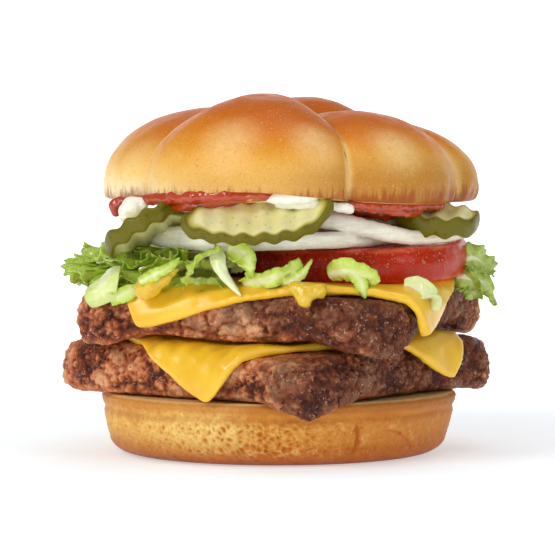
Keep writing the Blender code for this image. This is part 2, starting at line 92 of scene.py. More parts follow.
class MeatSettings(bpy.types.PropertyGroup):
    lower_color: color_setting("Lower", "Colour of the lower patty's browned lumps", 208, 120, 70)
    upper_color: color_setting("Upper", "Colour of the upper patty's browned lumps", 184, 100, 54)
    # Painted shade down in the cracks.
    dark_color: color_setting("Dark", "Colour down in the cracks", 54, 20, 10)
    lump: length_setting("Lump", "Size of the larger lumps of meat", 0.0066)
    crumb: length_setting("Crumb", "Size of the smaller crumbs of meat", 0.0022)


class CheeseSettings(bpy.types.PropertyGroup):
    color: color_setting("Cheese", "Colour of the processed cheese", 248, 200, 44)
    shade_color: color_setting("Thick", "Colour where the slice is thick or in a fold", 236, 172, 26)
    wave: length_setting("Wave", "How unevenly the warm slice lies", 0.0004)


class SaladSettings(bpy.types.PropertyGroup):
    tomato_color: color_setting("Tomato", "Colour of the tomato's skin", 180, 36, 4)
    leaf_color: color_setting("Leaf", "Colour of a leaf's blade", 194, 216, 76)
    rib_color: color_setting("Rib", "Colour of a leaf's pale rib", 232, 238, 196)
    onion_color: color_setting("Onion", "Colour of the onion", 252, 250, 236)
    rind_color: color_setting("Rind", "Colour of the pickle's skin", 108, 100, 4)
    flesh_color: color_setting("Flesh", "Colour of the pickle's flesh", 232, 226, 156)
    frills: IntProperty(name="Frills", description="Number of frilled leaves", default=64, min=1)
    droplets: IntProperty(
        name="Droplets", description="Number of water droplets on the tomato", default=230, min=0
    )


class SauceSettings(bpy.types.PropertyGroup):
    ketchup_color: color_setting("Ketchup", "Colour of the ketchup", 170, 48, 10)
    mayo_color: color_setting("Mayonnaise", "Colour of the mayonnaise", 250, 247, 236)
    mustard_color: color_setting("Mustard", "Colour of the mustard", 228, 190, 40)


class StudioSettings(bpy.types.PropertyGroup):
    floor_color: color_setting("Floor", "Colour of the floor and backdrop", 218, 224, 230)
    camera_distance: length_setting("Distance", "Distance from the camera to the burger", 1.0)
    lens: FloatProperty(name="Lens", description="Focal length in millimetres", default=227.0)


# ---------------------------------------------------------------- shader nodes

class Wire:
    """A socket that takes part in Python arithmetic; each operation adds one Math node."""

    def __init__(self, finish, socket):
        self.finish = finish
        self.socket = socket

    def math(self, operation, *values):
        return self.finish.node("Math", {"operation": operation}, dict(enumerate(values)))

    def __add__(self, other):
        return self.math("ADD", self, other)

    def __sub__(self, other):
        return self.math("SUBTRACT", self, other)

    def __mul__(self, other):
        return self.math("MULTIPLY", self, other)

    def __rsub__(self, other):
        return self.math("SUBTRACT", other, self)

    def __abs__(self):
        return self.math("ABSOLUTE", self)

    __radd__ = __add__
    __rmul__ = __mul__


class Finish:
    """A material for one kind of food, whose nodes are all added by node()."""

    def __init__(self, name, **constants):
        self.material = bpy.data.materials.new(name)
        self.material.use_nodes = True
        self.tree = self.material.node_tree
        self.shader = self.tree.nodes["Principled BSDF"]
        for key, value in constants.items():
            self.shader.inputs[key.replace("_", " ").title().replace("Ior", "IOR")].default_value = value

    def feed(self, socket, value):
        if isinstance(value, Wire):
            self.tree.links.new(value.socket, socket)
        elif isinstance(value, (tuple, list, Vector)) and socket.type == "RGBA" and len(value) == 3:
            socket.default_value = (*value, 1.0)
        else:
            socket.default_value = value

    def node(self, kind, settings, values, out=0):
        """Adds a node: its settings first, then the values or links of its sockets."""
        node = self.tree.nodes.new("ShaderNode" + kind)
        for key, value in settings.items():
            if key == "stops":
                self.set_stops(node.color_ramp, value)
            else:
                setattr(node, key, value)
        for key, value in values.items():
            self.feed(node.inputs[key], value)
        return Wire(self, node.outputs[out])

    @staticmethod
    def set_stops(ramp, stops):
        while len(ramp.elements) < len(stops):
            ramp.elements.new(0.5)
        for element, (position, color) in zip(ramp.elements, stops):
            element.position = position
            element.color = (*color, 1.0)

    def place(self):
        return self.node("TexCoord", {}, {}, "Object")

    def height(self):
        """Height above the table, in metres."""
        return self.node("SeparateXYZ", {}, {0: self.place()}, "Z")

    def across(self, axis):
        """How far to the right, X, or to the back, Y, of the middle, in metres."""
        return self.node("SeparateXYZ", {}, {0: self.place()}, axis)

    def amount(self, attribute):
        """What raised() or noted() stored for the surface."""
        return self.node("Attribute", {"attribute_name": attribute}, {}, "Fac")

    def stretched(self, *scale):
        """Object coordinates, squeezed along each axis."""
        return self.node("Mapping", {}, {"Vector": self.place(), "Scale": scale})

    def grain(self, size, detail=3.0, rough=0.55, where=None):
        """Noise from 0 to 1 with lumps of about that many millimetres."""
        values = {
            "Vector": where or self.place(),
            "Scale": 1 / (size * MM),
            "Detail": detail,
            "Roughness": rough,
        }
        return self.node("TexNoise", {}, values, "Fac")

    def cells(self, size, feature="F1"):
        """The distance within cells of about that many millimetres."""
        values = {"Vector": self.place(), "Scale": 1 / (size * MM)}
        return self.node("TexVoronoi", {"feature": feature}, values, "Distance")

    def span(self, value, low, high, to_low=0.0, to_high=1.0):
        """Carries low..high over to to_low..to_high, smoothly, and holds it there."""
        ranges = {"Value": value, 1: low, 2: high, 3: to_low, 4: to_high}
        return self.node("MapRange", {"interpolation_type": "SMOOTHSTEP"}, ranges)

    def around(self, spot, radius):
        """1 at a spot given in millimetres, fading to 0 that many millimetres from it."""
        ends = {0: self.place(), 1: Vector(spot) * MM}
        away = self.node("VectorMath", {"operation": "DISTANCE"}, ends, "Value")
        return self.span(away, radius * MM, 0.15 * radius * MM)

    def blend(self, amount, first, second):
        """Colours mixed from the first to the second; 6, 7 and 2 are the Mix node's colour sockets."""
        settings = {"data_type": "RGBA", "blend_type": "MIX", "clamp_factor": True}
        return self.node("Mix", settings, {"Factor": amount, 6: first, 7: second}, 2)

    def ramp(self, value, *stops):
        return self.node("ValToRGB", {"stops": stops}, {"Fac": value})

    def bump(self, height, distance, strength=1.0, normal=None):
        """A normal tilted by a height that stands for that many millimetres."""
        values = {"Height": height, "Distance": distance * MM, "Strength": strength}
        if normal:
            values["Normal"] = normal
        return self.node("Bump", {}, values)

    def done(self, color, roughness=None, normal=None, coat=None):
        self.feed(self.shader.inputs["Base Color"], color)
        if roughness is not None:
            self.feed(self.shader.inputs["Roughness"], roughness)
        if normal is not None:
            self.feed(self.shader.inputs["Normal"], normal)
        if coat is not None:
            self.feed(self.shader.inputs["Coat Weight"], coat)
        return self.material


# ---------------------------------------------------------------- mesh helpers

def smoothstep(value):
    value = min(max(value, 0.0), 1.0)
    return value * value * (3 - 2 * value)


def hill(distance, width):
    """1 at no distance, falling off in a bell shape of that width."""
    return math.exp(-((distance / width) ** 2))


def angle_between(a, b):
    return abs((a - b + math.pi) % (2 * math.pi) - math.pi)


def bearings(direction):
    """The longitude and latitude of a direction from the middle of a ball."""
    latitude = math.asin(max(-1.0, min(1.0, direction.z)))
    return math.atan2(direction.y, direction.x), latitude


def scaled(bm, factor):
    bmesh.ops.scale(bm, vec=(factor, factor, factor), verts=bm.verts)
    return bm


def in_scene(name, data):
    """A new object in the scene that shows this data."""
    made = bpy.data.objects.new(name, data)
    bpy.context.scene.collection.objects.link(made)
    return made


def made_object(bm, name):
    """Turns a finished bmesh into an object and frees it."""
    mesh = bpy.data.meshes.new(name)
    bm.to_mesh(mesh)
    bm.free()
    return in_scene(name, mesh)


def copied(node):
    """The solid of a node in millimetres, with its loose triangles merged."""
    bm = bmesh.new()
    bm.from_mesh(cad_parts[node].data)
    bmesh.ops.remove_doubles(bm, verts=bm.verts, dist=1e-5)
    return scaled(bm, 1 / MM)


def evened(bm, size, smoothing=2):
    """The same form as an even net of small quads, in millimetres, a little smoothed."""
    rough = made_object(scaled(bm, MM), "rough form")
    mesh = rough.data
    remesh = rough.modifiers.new("even", "REMESH")
    remesh.mode = "VOXEL"
    remesh.voxel_size = size * MM
    even = bmesh.new()
    even.from_object(rough, bpy.context.evaluated_depsgraph_get())
    bpy.data.objects.remove(rough)
    bpy.data.meshes.remove(mesh)
    scaled(even, 1 / MM)
    every_way = {"use_axis_x": True, "use_axis_y": True, "use_axis_z": True}
    for _ in range(smoothing):
        bmesh.ops.smooth_vert(even, verts=even.verts, factor=0.5, **every_way)
    even.normal_update()
    return even


def raised(bm, height, layer=None):
    """Moves every point along its normal by height(point, normal), and notes that height in a layer."""
    bm.normal_update()
    store = bm.verts.layers.float.new(layer) if layer else None
    moves = [(vert, vert.normal.copy(), height(vert.co.copy(), vert.normal)) for vert in bm.verts]
    for vert, normal, amount in moves:
        vert.co += normal * amount
        if store:
            vert[store] = amount
    bm.normal_update()


def noted(bm, layer, value):
    """Stores value(point, normal) for every point."""
    bm.normal_update()
    store = bm.verts.layers.float.new(layer)
    for vert in bm.verts:
        vert[store] = value(vert.co, vert.normal)


def ball(segments, rings):
    """A ball of radius 1, which the round forms are pressed from."""
    bm = bmesh.new()
    bmesh.ops.create_uvsphere(bm, u_segments=segments, v_segments=rings, radius=1)
    return bm


def pressed(bm, shape):
    """Moves every point of a ball to shape(longitude, latitude)."""
    for vert in bm.verts:
        vert.co = Vector(shape(*bearings(vert.co)))
    bmesh.ops.recalc_face_normals(bm, faces=bm.faces)
    return bm


def placed(bm, at, turn):
    """Turns by angles in degrees, and then moves."""
    rotation = Euler([angle * DEG for angle in turn]).to_matrix()
    bmesh.ops.rotate(bm, cent=(0, 0, 0), matrix=rotation, verts=bm.verts)
    bmesh.ops.translate(bm, vec=at, verts=bm.verts)
    return bm


def add_piece(bm, name, material, slot, *nodes):
    """Makes the object, in metres, with its material, says what it rides on and hides what it replaces;
    slot is not used.
    """
    piece = made_object(scaled(bm, MM), name)
    piece.data.shade_smooth()
    piece.data.materials.append(material)
    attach(piece, "root")
    if nodes:
        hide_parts(*nodes)
    return piece


# ---------------------------------------------------------------- bun

CORE = Vector((3.0, 0.0, 79.0))
TOP_BASE = 72.0
LOBE_MIDDLE = 76.5
# Each lobe: the direction it points in and half the angle it fills, in degrees, how far out its
# middle is, its half length, and its height.
LOBES = (
    (-109.5, 38.5, 19.0, 32.2, 24.4),
    (-36.0, 34.0, 21.0, 29.5, 20.8),
    (17.0, 25.0, 23.0, 32.6, 18.4),
    (78.0, 37.0, 21.0, 30.5, 24.6),
    (163.5, 48.0, 21.5, 31.4, 21.6),
)
BASE_HEIGHT = 17.6
BASE_RADIUS = 51.0
BASE_WAIST = 47.8
BASE_FOOT = 41.0
FOOT_HEIGHT = 5.0
LIP_HEIGHT = 1.6
CREASE_HEIGHT = 13.4


def top_bun_base(x, y):
    lift = 3.3 * hill(x + 9, 24) * hill(y + 50, 17)
    return TOP_BASE + lift - 0.9 * smoothstep((x - 15) / 40)


def lobe_reach(direction, number):
    """How far from the bun's core one lobe reaches: an egg in section, drawn in towards its two sides."""
    azimuth, half_angle, offset, long, tall = LOBES[number]
    flat = math.hypot(direction.x, direction.y)
    aside = angle_between(math.atan2(direction.y, direction.x), azimuth * DEG) / (half_angle * DEG)
    aside *= smoothstep(flat / 0.2)
    dx, dz = flat / long, direction.z / tall
    ox, oz = -offset / long, (CORE.z - LOBE_MIDDLE) / tall
    a, b, c = dx * dx + dz * dz, dx * ox + dz * oz, ox * ox + oz * oz - 1
    egg = (-b + math.sqrt(b * b - a * c)) / a
    drawn_in = 0.085 + 0.13 * smoothstep(direction.z / 0.75)
    return egg * (1 - drawn_in * min(aside, 2.0) ** 2.5)


def soft_least(a, b, sharpness):
    """The lesser of two lengths, rounded off where they are nearly equal."""
    least = min(a, b)
    both = math.exp(-sharpness * (a - least)) + math.exp(-sharpness * (b - least))
    return least - math.log(both) / sharpness


def crust_reach(direction, crease):
    """The crust's reach and how deep in a fold it is; the front lobe laps over both of its neighbours."""
    torn = 0.45 * noise.noise(direction * 9) + 0.3 * noise.noise(direction * 23)
    reaches = [(lobe_reach(direction, number), number) for number in range(len(LOBES))]
    (longest, owner), (second, other) = sorted(reaches, reverse=True)[:2]
    apart = max(0.0, longest - second + torn * hill(longest - second, 1.2) * (0 in (owner, other)))
    if owner == 0:
        depth = math.exp(-apart / 0.8)
        return longest + crease * (0.9 - 1.1 * depth), depth
    if other == 0:
        depth = 0.55 * math.exp(-apart / 0.7)
        return longest - crease * depth, 2.2 * depth
    depth = math.exp(-apart / 1.9)
    return longest - crease * (depth + 0.3 * hill(apart, 0.4)), depth


def top_bun_form(crease):
    """The top bun as one star-shaped form of five lobes on a nearly flat base."""
    bm = ball(420, 180)
    fold = bm.verts.layers.float.new("fold")
    for vert in bm.verts:
        longitude, latitude = bearings(vert.co)
        if latitude < 0:
            latitude = -math.atan(math.tan(min(-latitude, 89.9 * DEG)) * 0.25)
        flat = math.cos(latitude)
        direction = Vector((flat * math.cos(longitude), flat * math.sin(longitude), math.sin(latitude)))
        reach, depth = crust_reach(direction, crease)
        reach += 0.4 * noise.noise(direction * 3.1) + 0.16 * noise.noise(direction * 9)
        vert[fold] = depth
        if direction.z < -1e-4:
            to_base = reach
            for _ in range(4):
                at = CORE + direction * to_base
                to_base = min((CORE.z - top_bun_base(at.x, at.y)) / -direction.z, 4 * reach)
            reach = soft_least(reach, to_base, 0.6)
        vert.co = CORE + direction * reach
    bmesh.ops.recalc_face_normals(bm, faces=bm.faces)
    return bm


def rim_wrinkles(point, normal):
    """Upright wrinkles where the skin tucks under, and faint dimples above."""
    tuck = hill(point.z - 73.4, 3.4)
    azimuth = math.atan2(point.y, point.x - 3)
    folds = noise.noise(Vector((math.cos(azimuth) * 15, math.sin(azimuth) * 15, point.z / 16)))
    fine = noise.noise(Vector((math.cos(azimuth) * 38, math.sin(azimuth) * 38, point.z / 9)))
    return tuck * (0.8 * folds + 0.5 * fine) * (1 - abs(normal.z)) + 0.04 * noise.noise(point / 2.1)


# Painted highlights: pale patches where the key light glares on the crust, and how far each spreads.
BLOOMS = (
    ((-14.0, -48.0, 92.0), 13.0),
    ((10.0, -44.0, 88.0), 10.0),
    ((33.0, -34.0, 87.0), 11.0),
    ((-42.0, -24.0, 88.0), 12.0),
)


def crust_finish(settings):
    """Egg-washed crust: browned on top, cream low on the lit left and gold on the right, partly painted
    light and shade, with painted highlights, painted shade in the folds, and bread underneath.
    """
    f = Finish(
        "glazed crust",
        specular_ior_level=0.16,
        subsurface_weight=0.06,
        subsurface_radius=(0.004, 0.002, 0.001),
    )
    patch = f.grain(22, 3, 0.5)
    mottle = f.grain(3.0, 4, 0.6)
    # Painted shade: the crust is made a little browner towards the right, away from the key light.
    right = f.span(f.across("X"), -0.05, 0.05)
    level = f.height() + (patch - 0.5) * 0.010 + (mottle - 0.5) * 0.0030 + right * 0.003
    color = f.ramp(
        f.span(level, 0.073, 0.1005),
        (0.0, tuple(settings.pale_color)),
        (0.16, tone(246, 208, 128)),
        (0.38, tone(236, 178, 84)),
        (0.6, tuple(settings.side_color)),
        (0.82, tone(214, 122, 22)),
        (1.0, tuple(settings.top_color)),
    )
    # Low down the crust is paler, as it browned less there; painted shade keeps the cream only on the lit
    # left, golden in the middle and deeper gold at the right.
    low = f.span(f.height() + (patch - 0.5) * 0.006, 0.088, 0.077)
    color = f.blend(f.span(f.across("X"), -0.042, -0.018) * low * 0.85, color, tone(216, 158, 70))
    color = f.blend(f.span(f.across("X"), -0.006, 0.024) * low * 0.8, color, tone(186, 122, 40))
    # Painted highlights, pale and mottled, at the spots above.
    for spot, radius in BLOOMS:
        color = f.blend(f.around(spot, radius) * (0.05 + 0.85 * mottle), color, tone(253, 224, 160))
    fold = f.amount("fold")
    pale_fold = f.span(fold, 0.1, 0.7) * f.span(f.height(), 0.099, 0.086)
    color = f.blend(pale_fold * 0.8, color, tone(248, 210, 138))
    # Painted shade deep in the folds, where one lobe laps over the next.
    color = f.blend(f.span(fold, 0.9, 1.15) * 0.7, color, tone(150, 80, 24))
    speck = f.span(f.grain(0.8, 2, 0.6), 0.56, 0.72)
    color = f.blend(speck * 0.28, color, tone(166, 88, 22))
    pale_speck = f.span(f.grain(0.6, 2, 0.6), 0.58, 0.72)
    color = f.blend(pale_speck * 0.26, color, tone(255, 226, 160))
    streak = f.grain(1.3, 3, 0.6, f.stretched(1, 1, 0.14))
    # Darker upright streaks along the lower rim.
    stain = f.span(f.height() + (streak - 0.5) * 0.011, 0.0768, 0.0728) * f.span(f.grain(9, 2), 0.25, 0.5)
    color = f.blend(stain * 0.8, color, tone(158, 70, 22))
    under = f.span(f.amount("under"), 0.9, 0.98)
    color = f.blend(under, color, tuple(settings.crumb_color))
    rough = f.span(f.grain(6, 3), 0.3, 0.7, 0.3, 0.46) + under * 0.4
    skin = f.bump(f.grain(0.5, 3, 0.65), 0.07, 0.7)
    normal = f.bump(f.grain(1.6, 3, 0.55), 0.14, 0.4, skin)
    return f.done(color, rough, normal)


def base_wall_radius(z):
    """The lower bun's radius at a height: a rounded foot, then the wall with its crease and lip."""
    if z < FOOT_HEIGHT:
        share = 1 - z / FOOT_HEIGHT
        return BASE_FOOT + (BASE_WAIST - BASE_FOOT) * math.sqrt(1 - share * share)
    share = (z - FOOT_HEIGHT) / (BASE_HEIGHT - FOOT_HEIGHT)
    crease = 0.45 * hill(z - CREASE_HEIGHT, 0.9)
    edge = 1.3 * max(0.0, (z - BASE_HEIGHT + LIP_HEIGHT) / LIP_HEIGHT) ** 2
    return BASE_WAIST + (BASE_RADIUS - BASE_WAIST) * share**0.8 - crease - edge


def base_bun_form():
    """The lower bun: a rounded foot, a flaring wall, and a crease under its lip."""

    def shape(longitude, latitude):
        flat = 24 * DEG
        if abs(latitude) > 90 * DEG - flat:
            z = BASE_HEIGHT if latitude > 0 else 0.0
            radius = base_wall_radius(z) * (math.pi / 2 - abs(latitude)) / flat
        else:
            z = BASE_HEIGHT * (0.5 + 0.5 * math.sin(latitude / (90 * DEG - flat) * math.pi / 2))
            radius = base_wall_radius(z)
        out = Vector((math.cos(longitude), math.sin(longitude), 0))
        uneven = noise.noise(Vector((out.x * 1.25 + 17.3, out.y * 1.25 - 9.1, z / 24 + 4.7)))
        radius += 0.8 * uneven * smoothstep(z / 4) * radius / BASE_RADIUS
        return radius * out.x, radius * out.y, z

    return pressed(ball(640, 110), shape)


def base_bun_skin(depth):
    """A honeycomb of soft ridges at the front left, finer grain elsewhere, and two folds at the right."""

    def height(point, normal):
        upright = 1 - abs(normal.z)
        azimuth = math.atan2(point.y, point.x)
        front = hill(angle_between(azimuth, FRONT_LEFT), 0.55)
        warp = noise.noise_vector(point / 3.2) * 0.9
        cells = noise.voronoi((point + warp) / 1.75)[0]
        ridge = hill(cells[1] - cells[0], 0.3)
        low = smoothstep((13.2 - point.z) / 2.5)
        dimple = 0.5 * hill(cells[0], 0.28)
        net = depth * (0.3 + 0.85 * front) * (ridge - 0.45 - dimple) * low
        grain = 0.17 * noise.noise(point / 0.9) + 0.16 * noise.noise(point / 2.0)
        crease_x = 20.5 + 1.6 * math.sin(point.z / 5) - 2.2 * hill(point.z, 4)
        folds = -0.9 * hill(point.x - crease_x, 0.6)
        arc = math.hypot(point.x - 30.0, point.z - 2.0)
        folds += 0.12 * hill(arc - 8.8, 1.3) - 0.4 * hill(arc - 7.4, 0.4) * smoothstep((point.x - 27) / 3)
        folds *= (point.y < 0) * smoothstep((13 - point.z) / 3) * smoothstep((point.z - 1) / 3)
        return upright * (net + grain + folds) * smoothstep(point.z / 2)

    return height


def foot_finish(settings):
    """Lower crust: cream and gold on the lit left and golden brown on the right, partly painted light and
    shade; painted light on its ridges and painted shade in its hollows and crease; toasted at the foot.
    """
    f = Finish(
        "lower crust",
        specular_ior_level=0.2,
        subsurface_weight=0.05,
        subsurface_radius=(0.004, 0.002, 0.001),
    )
    mottle = f.grain(3.4, 4, 0.6)
    # Painted light and shade: the crust is made paler on the lit left and browner towards the right.
    across = f.span(f.across("X") + (f.grain(14, 2) - 0.5) * 0.02, -0.048, 0.046)
    color = f.ramp(
        across,
        (0.0, tone(242, 192, 98)),
        (0.2, tone(250, 218, 126)),
        (0.45, tone(214, 148, 54)),
        (0.7, tone(222, 154, 62)),
        (1.0, tone(208, 134, 52)),
    )
    color = f.blend(f.span(mottle, 0.4, 0.68) * 0.5, color, tone(206, 122, 36))
    lip = f.span(f.height() + (f.grain(10, 2) - 0.5) * 0.002, 0.0136, 0.0156)
    # A browned lip, made darker towards the right as painted shade.
    color = f.blend(lip * 0.75, color, f.blend(across, tone(204, 126, 48), tone(166, 98, 38)))
    # Painted shade in the crease under the lip.
    band = f.span(abs(f.height() + (f.grain(8, 2) - 0.5) * 0.004 - 0.0130), 0.0020, 0.0002)
    color = f.blend(band * 0.4, color, tone(184, 98, 30))
    foot = f.span(f.height() + (mottle - 0.5) * 0.007, 0.0095, 0.0008)
    color = f.blend(foot * 0.95, color, tuple(settings.foot_color))
    sole = f.span(f.height() + (mottle - 0.5) * 0.003, 0.0024, 0.0002)
    color = f.blend(sole * 0.6, color, tone(112, 44, 10))
    relief = f.amount("sunk")
    # Painted shade in the honeycomb's hollows.
    color = f.blend(f.span(relief, 0.0, -0.36) * 0.85, color, tone(178, 92, 22))
    color = f.blend(f.span(f.grain(0.7, 3, 0.6), 0.46, 0.64) * 0.35, color, tone(190, 104, 28))
    # Painted light on the honeycomb's ridges.
    color = f.blend(f.span(relief, 0.04, 0.34) * 0.4, color, tone(255, 218, 136))
    cut = f.span(f.amount("up"), 0.6, 0.9)
    color = f.blend(cut, color, tuple(settings.crumb_color))
    normal = f.bump(f.grain(0.7, 4, 0.65), 0.22, 0.8)
    return f.done(color, f.span(f.grain(6, 2), 0.3, 0.7, 0.42, 0.58), normal)


class BURGER_OT_top_bun(bpy.types.Operator):
    """Adds the lobed upper half of the bun"""

    bl_idname = "mesh.burger_top_bun"
    bl_label = "Top Bun"

    def execute(self, context):
        settings = context.scene.burger_bun
        bm = top_bun_form(settings.crease / MM)
        raised(bm, rim_wrinkles)
        noted(bm, "under", lambda point, normal: -normal.z)
        add_piece(bm, "glazed_top_bun", crust_finish(settings), "crust", "bun_top")
        return {"FINISHED"}


class BURGER_OT_base_bun(bpy.types.Operator):
    """Adds the lower half of the bun"""

    bl_idname = "mesh.burger_base_bun"
    bl_label = "Base Bun"

    def execute(self, context):
        settings = context.scene.burger_bun
        bm = base_bun_form()
        raised(bm, base_bun_skin(settings.wrinkle / MM), "sunk")
        noted(bm, "up", lambda point, normal: normal.z)
        add_piece(bm, "wrinkled_base_bun", foot_finish(settings), "crust", "bun_bottom")
        return {"FINISHED"}


# ---------------------------------------------------------------- patties

def minced(lump, crumb, seed):
    """Relief of minced meat: soft lumps with cracks between them, and crumbs and grains on those."""
    shift = Vector((31.7 * seed, -12.9 * seed, 5.3 * seed))

    def height(point, normal):
        warp = noise.noise_vector(point / 8 + shift) * 1.8
        lumps = noise.voronoi((point + warp + shift) / lump)[0]
        crumbs = noise.voronoi((point + warp * 0.5 - shift) / crumb)[0]
        crack = min(1.0, (lumps[1] - lumps[0]) * 2.6)
        gap = min(1.0, (crumbs[1] - crumbs[0]) * 2.4)
        rough = 0.95 * crack**0.6 - 0.75
        rough += 0.62 * (gap**0.6 - 0.6)
        rough += 0.55 * noise.noise(point / 1.1 + shift)
        rough += 1.0 * noise.noise(point / 12 + shift)
        return rough * (0.3 + 0.7 * (1 - normal.z * normal.z))

    return height


def meat_finish(name, seared, dark):
    """Seared minced beef: brown lumps, painted light on their tops and painted shade in the cracks and
    pits, char at the front right that is partly painted shade, and painted glints.
    """
    f = Finish(
        name,
        specular_ior_level=0.32,
        subsurface_weight=0.05,
        subsurface_radius=(0.003, 0.001, 0.0006),
    )
    # Painted shade and light: the relief's depth darkens the cracks and lightens the tops of the lumps.
    color = f.ramp(
        f.span(f.amount("depth") + (f.grain(1.0, 3) - 0.5) * 1.1, -1.25, 0.7),
        (0.0, dark),
        (0.28, tone(122, 52, 24)),
        (0.66, seared),
        (1.0, tone(232, 172, 126)),
    )
    # Char patches, thicker towards the front right; that bias is painted shade on the side away from the
    # key light.
    toward_right = f.span(f.across("X"), -0.03, 0.03) * f.span(f.across("Y"), 0.03, -0.02)
    burnt = f.span(f.grain(12, 3, 0.6) + (f.grain(2.2, 3) - 0.5) * 0.4 + toward_right * 0.34, 0.5, 0.76)
    color = f.blend(burnt * 0.75, color, tone(68, 24, 8))
    red = f.span(f.grain(6.5, 2), 0.5, 0.7)
    color = f.blend(red * 0.35, color, tone(150, 68, 36))
    # Painted shade in small pits.
    pits = f.span(f.cells(2.1), 0.2, 0.06) * f.span(f.grain(5, 2), 0.46, 0.6)
    color = f.blend(pits * 0.7, color, tone(48, 20, 12))
    # Painted glints: small pale specks where the wet meat would catch the light.
    fat = f.span(f.grain(0.8, 3, 0.65), 0.56, 0.68) * f.span(f.grain(4, 3), 0.45, 0.6)
    color = f.blend(fat * 0.6, color, tone(240, 196, 164))
    wet = f.span(f.grain(1.9, 3, 0.65), 0.46, 0.58) * (0.4 + 0.6 * f.span(f.grain(8, 2), 0.38, 0.58))
    normal = f.bump(f.grain(0.5, 4, 0.65), 0.34, 1.0)
    normal = f.bump(f.cells(1.1, "SMOOTH_F1"), -0.5, 0.8, normal)
    return f.done(color, f.span(wet, 0.0, 1.0, 0.7, 0.16), normal)


class BURGER_OT_patties(bpy.types.Operator):
    """Adds both beef patties"""

    bl_idname = "mesh.burger_patties"
    bl_label = "Patties"

    def execute(self, context):
        settings = context.scene.burger_meat
        patties = (("lower", settings.lower_color), ("upper", settings.upper_color))
        for seed, (level, seared) in enumerate(patties, 1):
            node, name = "patty_" + level, f"seared_{level}_patty"
            bm = evened(copied(node), size=0.6, smoothing=2)
            raised(bm, minced(settings.lump / MM, settings.crumb / MM, seed), "depth")
            material = meat_finish(name + " sear", tuple(seared), tuple(settings.dark_color))
            add_piece(bm, name, material, "beef", node)
        return {"FINISHED"}


# ---------------------------------------------------------------- cheese

def cheese_finish(settings):
    """Warm processed cheese: yellow, deeper in random patches and a little lighter in smaller ones, with a
    soft sheen.
    """
    f = Finish(
        "melted cheese",
        specular_ior_level=0.5,
        subsurface_weight=0.25,
        subsurface_radius=(0.006, 0.003, 0.001),
        coat_roughness=0.2,
    )
    thick = f.span(f.grain(9, 3), 0.35, 0.7)
    color = f.blend(thick * 0.5, tuple(settings.color), tuple(settings.shade_color))
    color = f.blend(f.span(f.grain(2.4, 3), 0.55, 0.8) * 0.22, color, tone(255, 206, 84))
    normal = f.bump(f.grain(3.4, 3), 0.18, 0.5)
    normal = f.bump(f.grain(0.7, 2), 0.03, 0.4, normal)
    return f.done(color, f.span(f.grain(5, 3), 0.3, 0.7, 0.26, 0.42), normal, 0.25)


class BURGER_OT_cheese(bpy.types.Operator):
    """Adds both draped cheese slices"""

    bl_idname = "mesh.burger_cheese"
    bl_label = "Cheese"

    def execute(self, context):
        settings = context.scene.burger_cheese
        finish = cheese_finish(settings)
        wave = settings.wave / MM
        for level in ("lower", "upper"):
            bm = evened(copied("cheese_" + level), size=0.55, smoothing=12)
            raised(bm, lambda point, normal: 0.3 + wave * 1.8 * noise.noise(point / 11))
            add_piece(bm, f"melted_{level}_cheese", finish, "cheese", "cheese_" + level)
        return {"FINISHED"}


# ---------------------------------------------------------------- tomato, onion, pickle

def tomato_finish(settings):
    """Ripe tomato: red skin, a paler line where the knife went through, and wet flesh."""
    f = Finish(
        "ripe tomato",
        specular_ior_level=0.25,
        subsurface_weight=0.2,
        subsurface_radius=(0.006, 0.0015, 0.0008),
        coat_roughness=0.08,
    )
    side = f.span(f.across("X"), -0.008, 0.03)
    skin = f.blend(side, tone(140, 20, 6), tuple(settings.tomato_color))
    skin = f.blend(f.span(f.grain(6, 3), 0.45, 0.7) * 0.4, skin, tone(196, 40, 14))
    # Painted glints: small orange-gold specks on the skin.
    skin = f.blend(f.span(f.grain(0.7, 2), 0.6, 0.72) * 0.5, skin, tone(224, 120, 52))
    cut = f.span(f.amount("cut"), 0.45, 0.85)
    flesh = f.blend(f.span(f.grain(4, 3), 0.4, 0.65), tone(206, 58, 36), tone(226, 96, 60))
    color = f.blend(cut, skin, flesh)
    normal = f.bump(f.grain(1.1, 3), 0.06, 0.5)
    return f.done(color, f.span(f.grain(3, 2), 0.35, 0.65, 0.22, 0.4), normal, 0.06)


TOMATO_MIDDLE = (21.0, -4.0)
TOMATO_RADIUS = 34.05
TOMATO_ROUNDING = 2.6
BEAD_SIZES = (0.12, 0.15, 0.18, 0.24, 0.32)


def droplets(count):
    """Beads of water, thickest on the front of the tomato's skin."""
    rng = random.Random(11)
    bm = bmesh.new()
    for _ in range(count):
        azimuth = (-90 + rng.gauss(0, 42)) * DEG
        z = rng.uniform(52.6, 59.4)
        lean = (z - 55.6) / 4.6
        reach = TOMATO_RADIUS * (1 - 0.03 * math.cos(4 * (azimuth + 20 * DEG))) - TOMATO_ROUNDING
        reach += TOMATO_ROUNDING * math.sqrt(max(0.0, 1 - lean * lean))
        x, y = math.cos(azimuth), math.sin(azimuth)
        sunk = 0.36 * (azimuth < -60 * DEG)
        at = Vector((TOMATO_MIDDLE[0] + reach * x, TOMATO_MIDDLE[1] + reach * y, z - sunk))
        level = 1 - 0.3 * abs(lean)
        outward = Vector((x * level, y * level, lean)).normalized()
        turn = outward.to_track_quat("Z", "Y").to_matrix().to_4x4()
        place = Matrix.Translation(at) @ turn @ Matrix.Diagonal((1, 1, 0.55, 1))
        size = rng.choice(BEAD_SIZES)
        bmesh.ops.create_uvsphere(bm, u_segments=8, v_segments=4, radius=size, matrix=place)
    return bm


def water_finish():
    """Clear water, tinted warm gold as a painted reflection of the skin and the lights."""
    f = Finish("water", roughness=0.03, ior=1.33, transmission_weight=0.85, specular_ior_level=0.8)
    return f.done(tone(250, 206, 150))


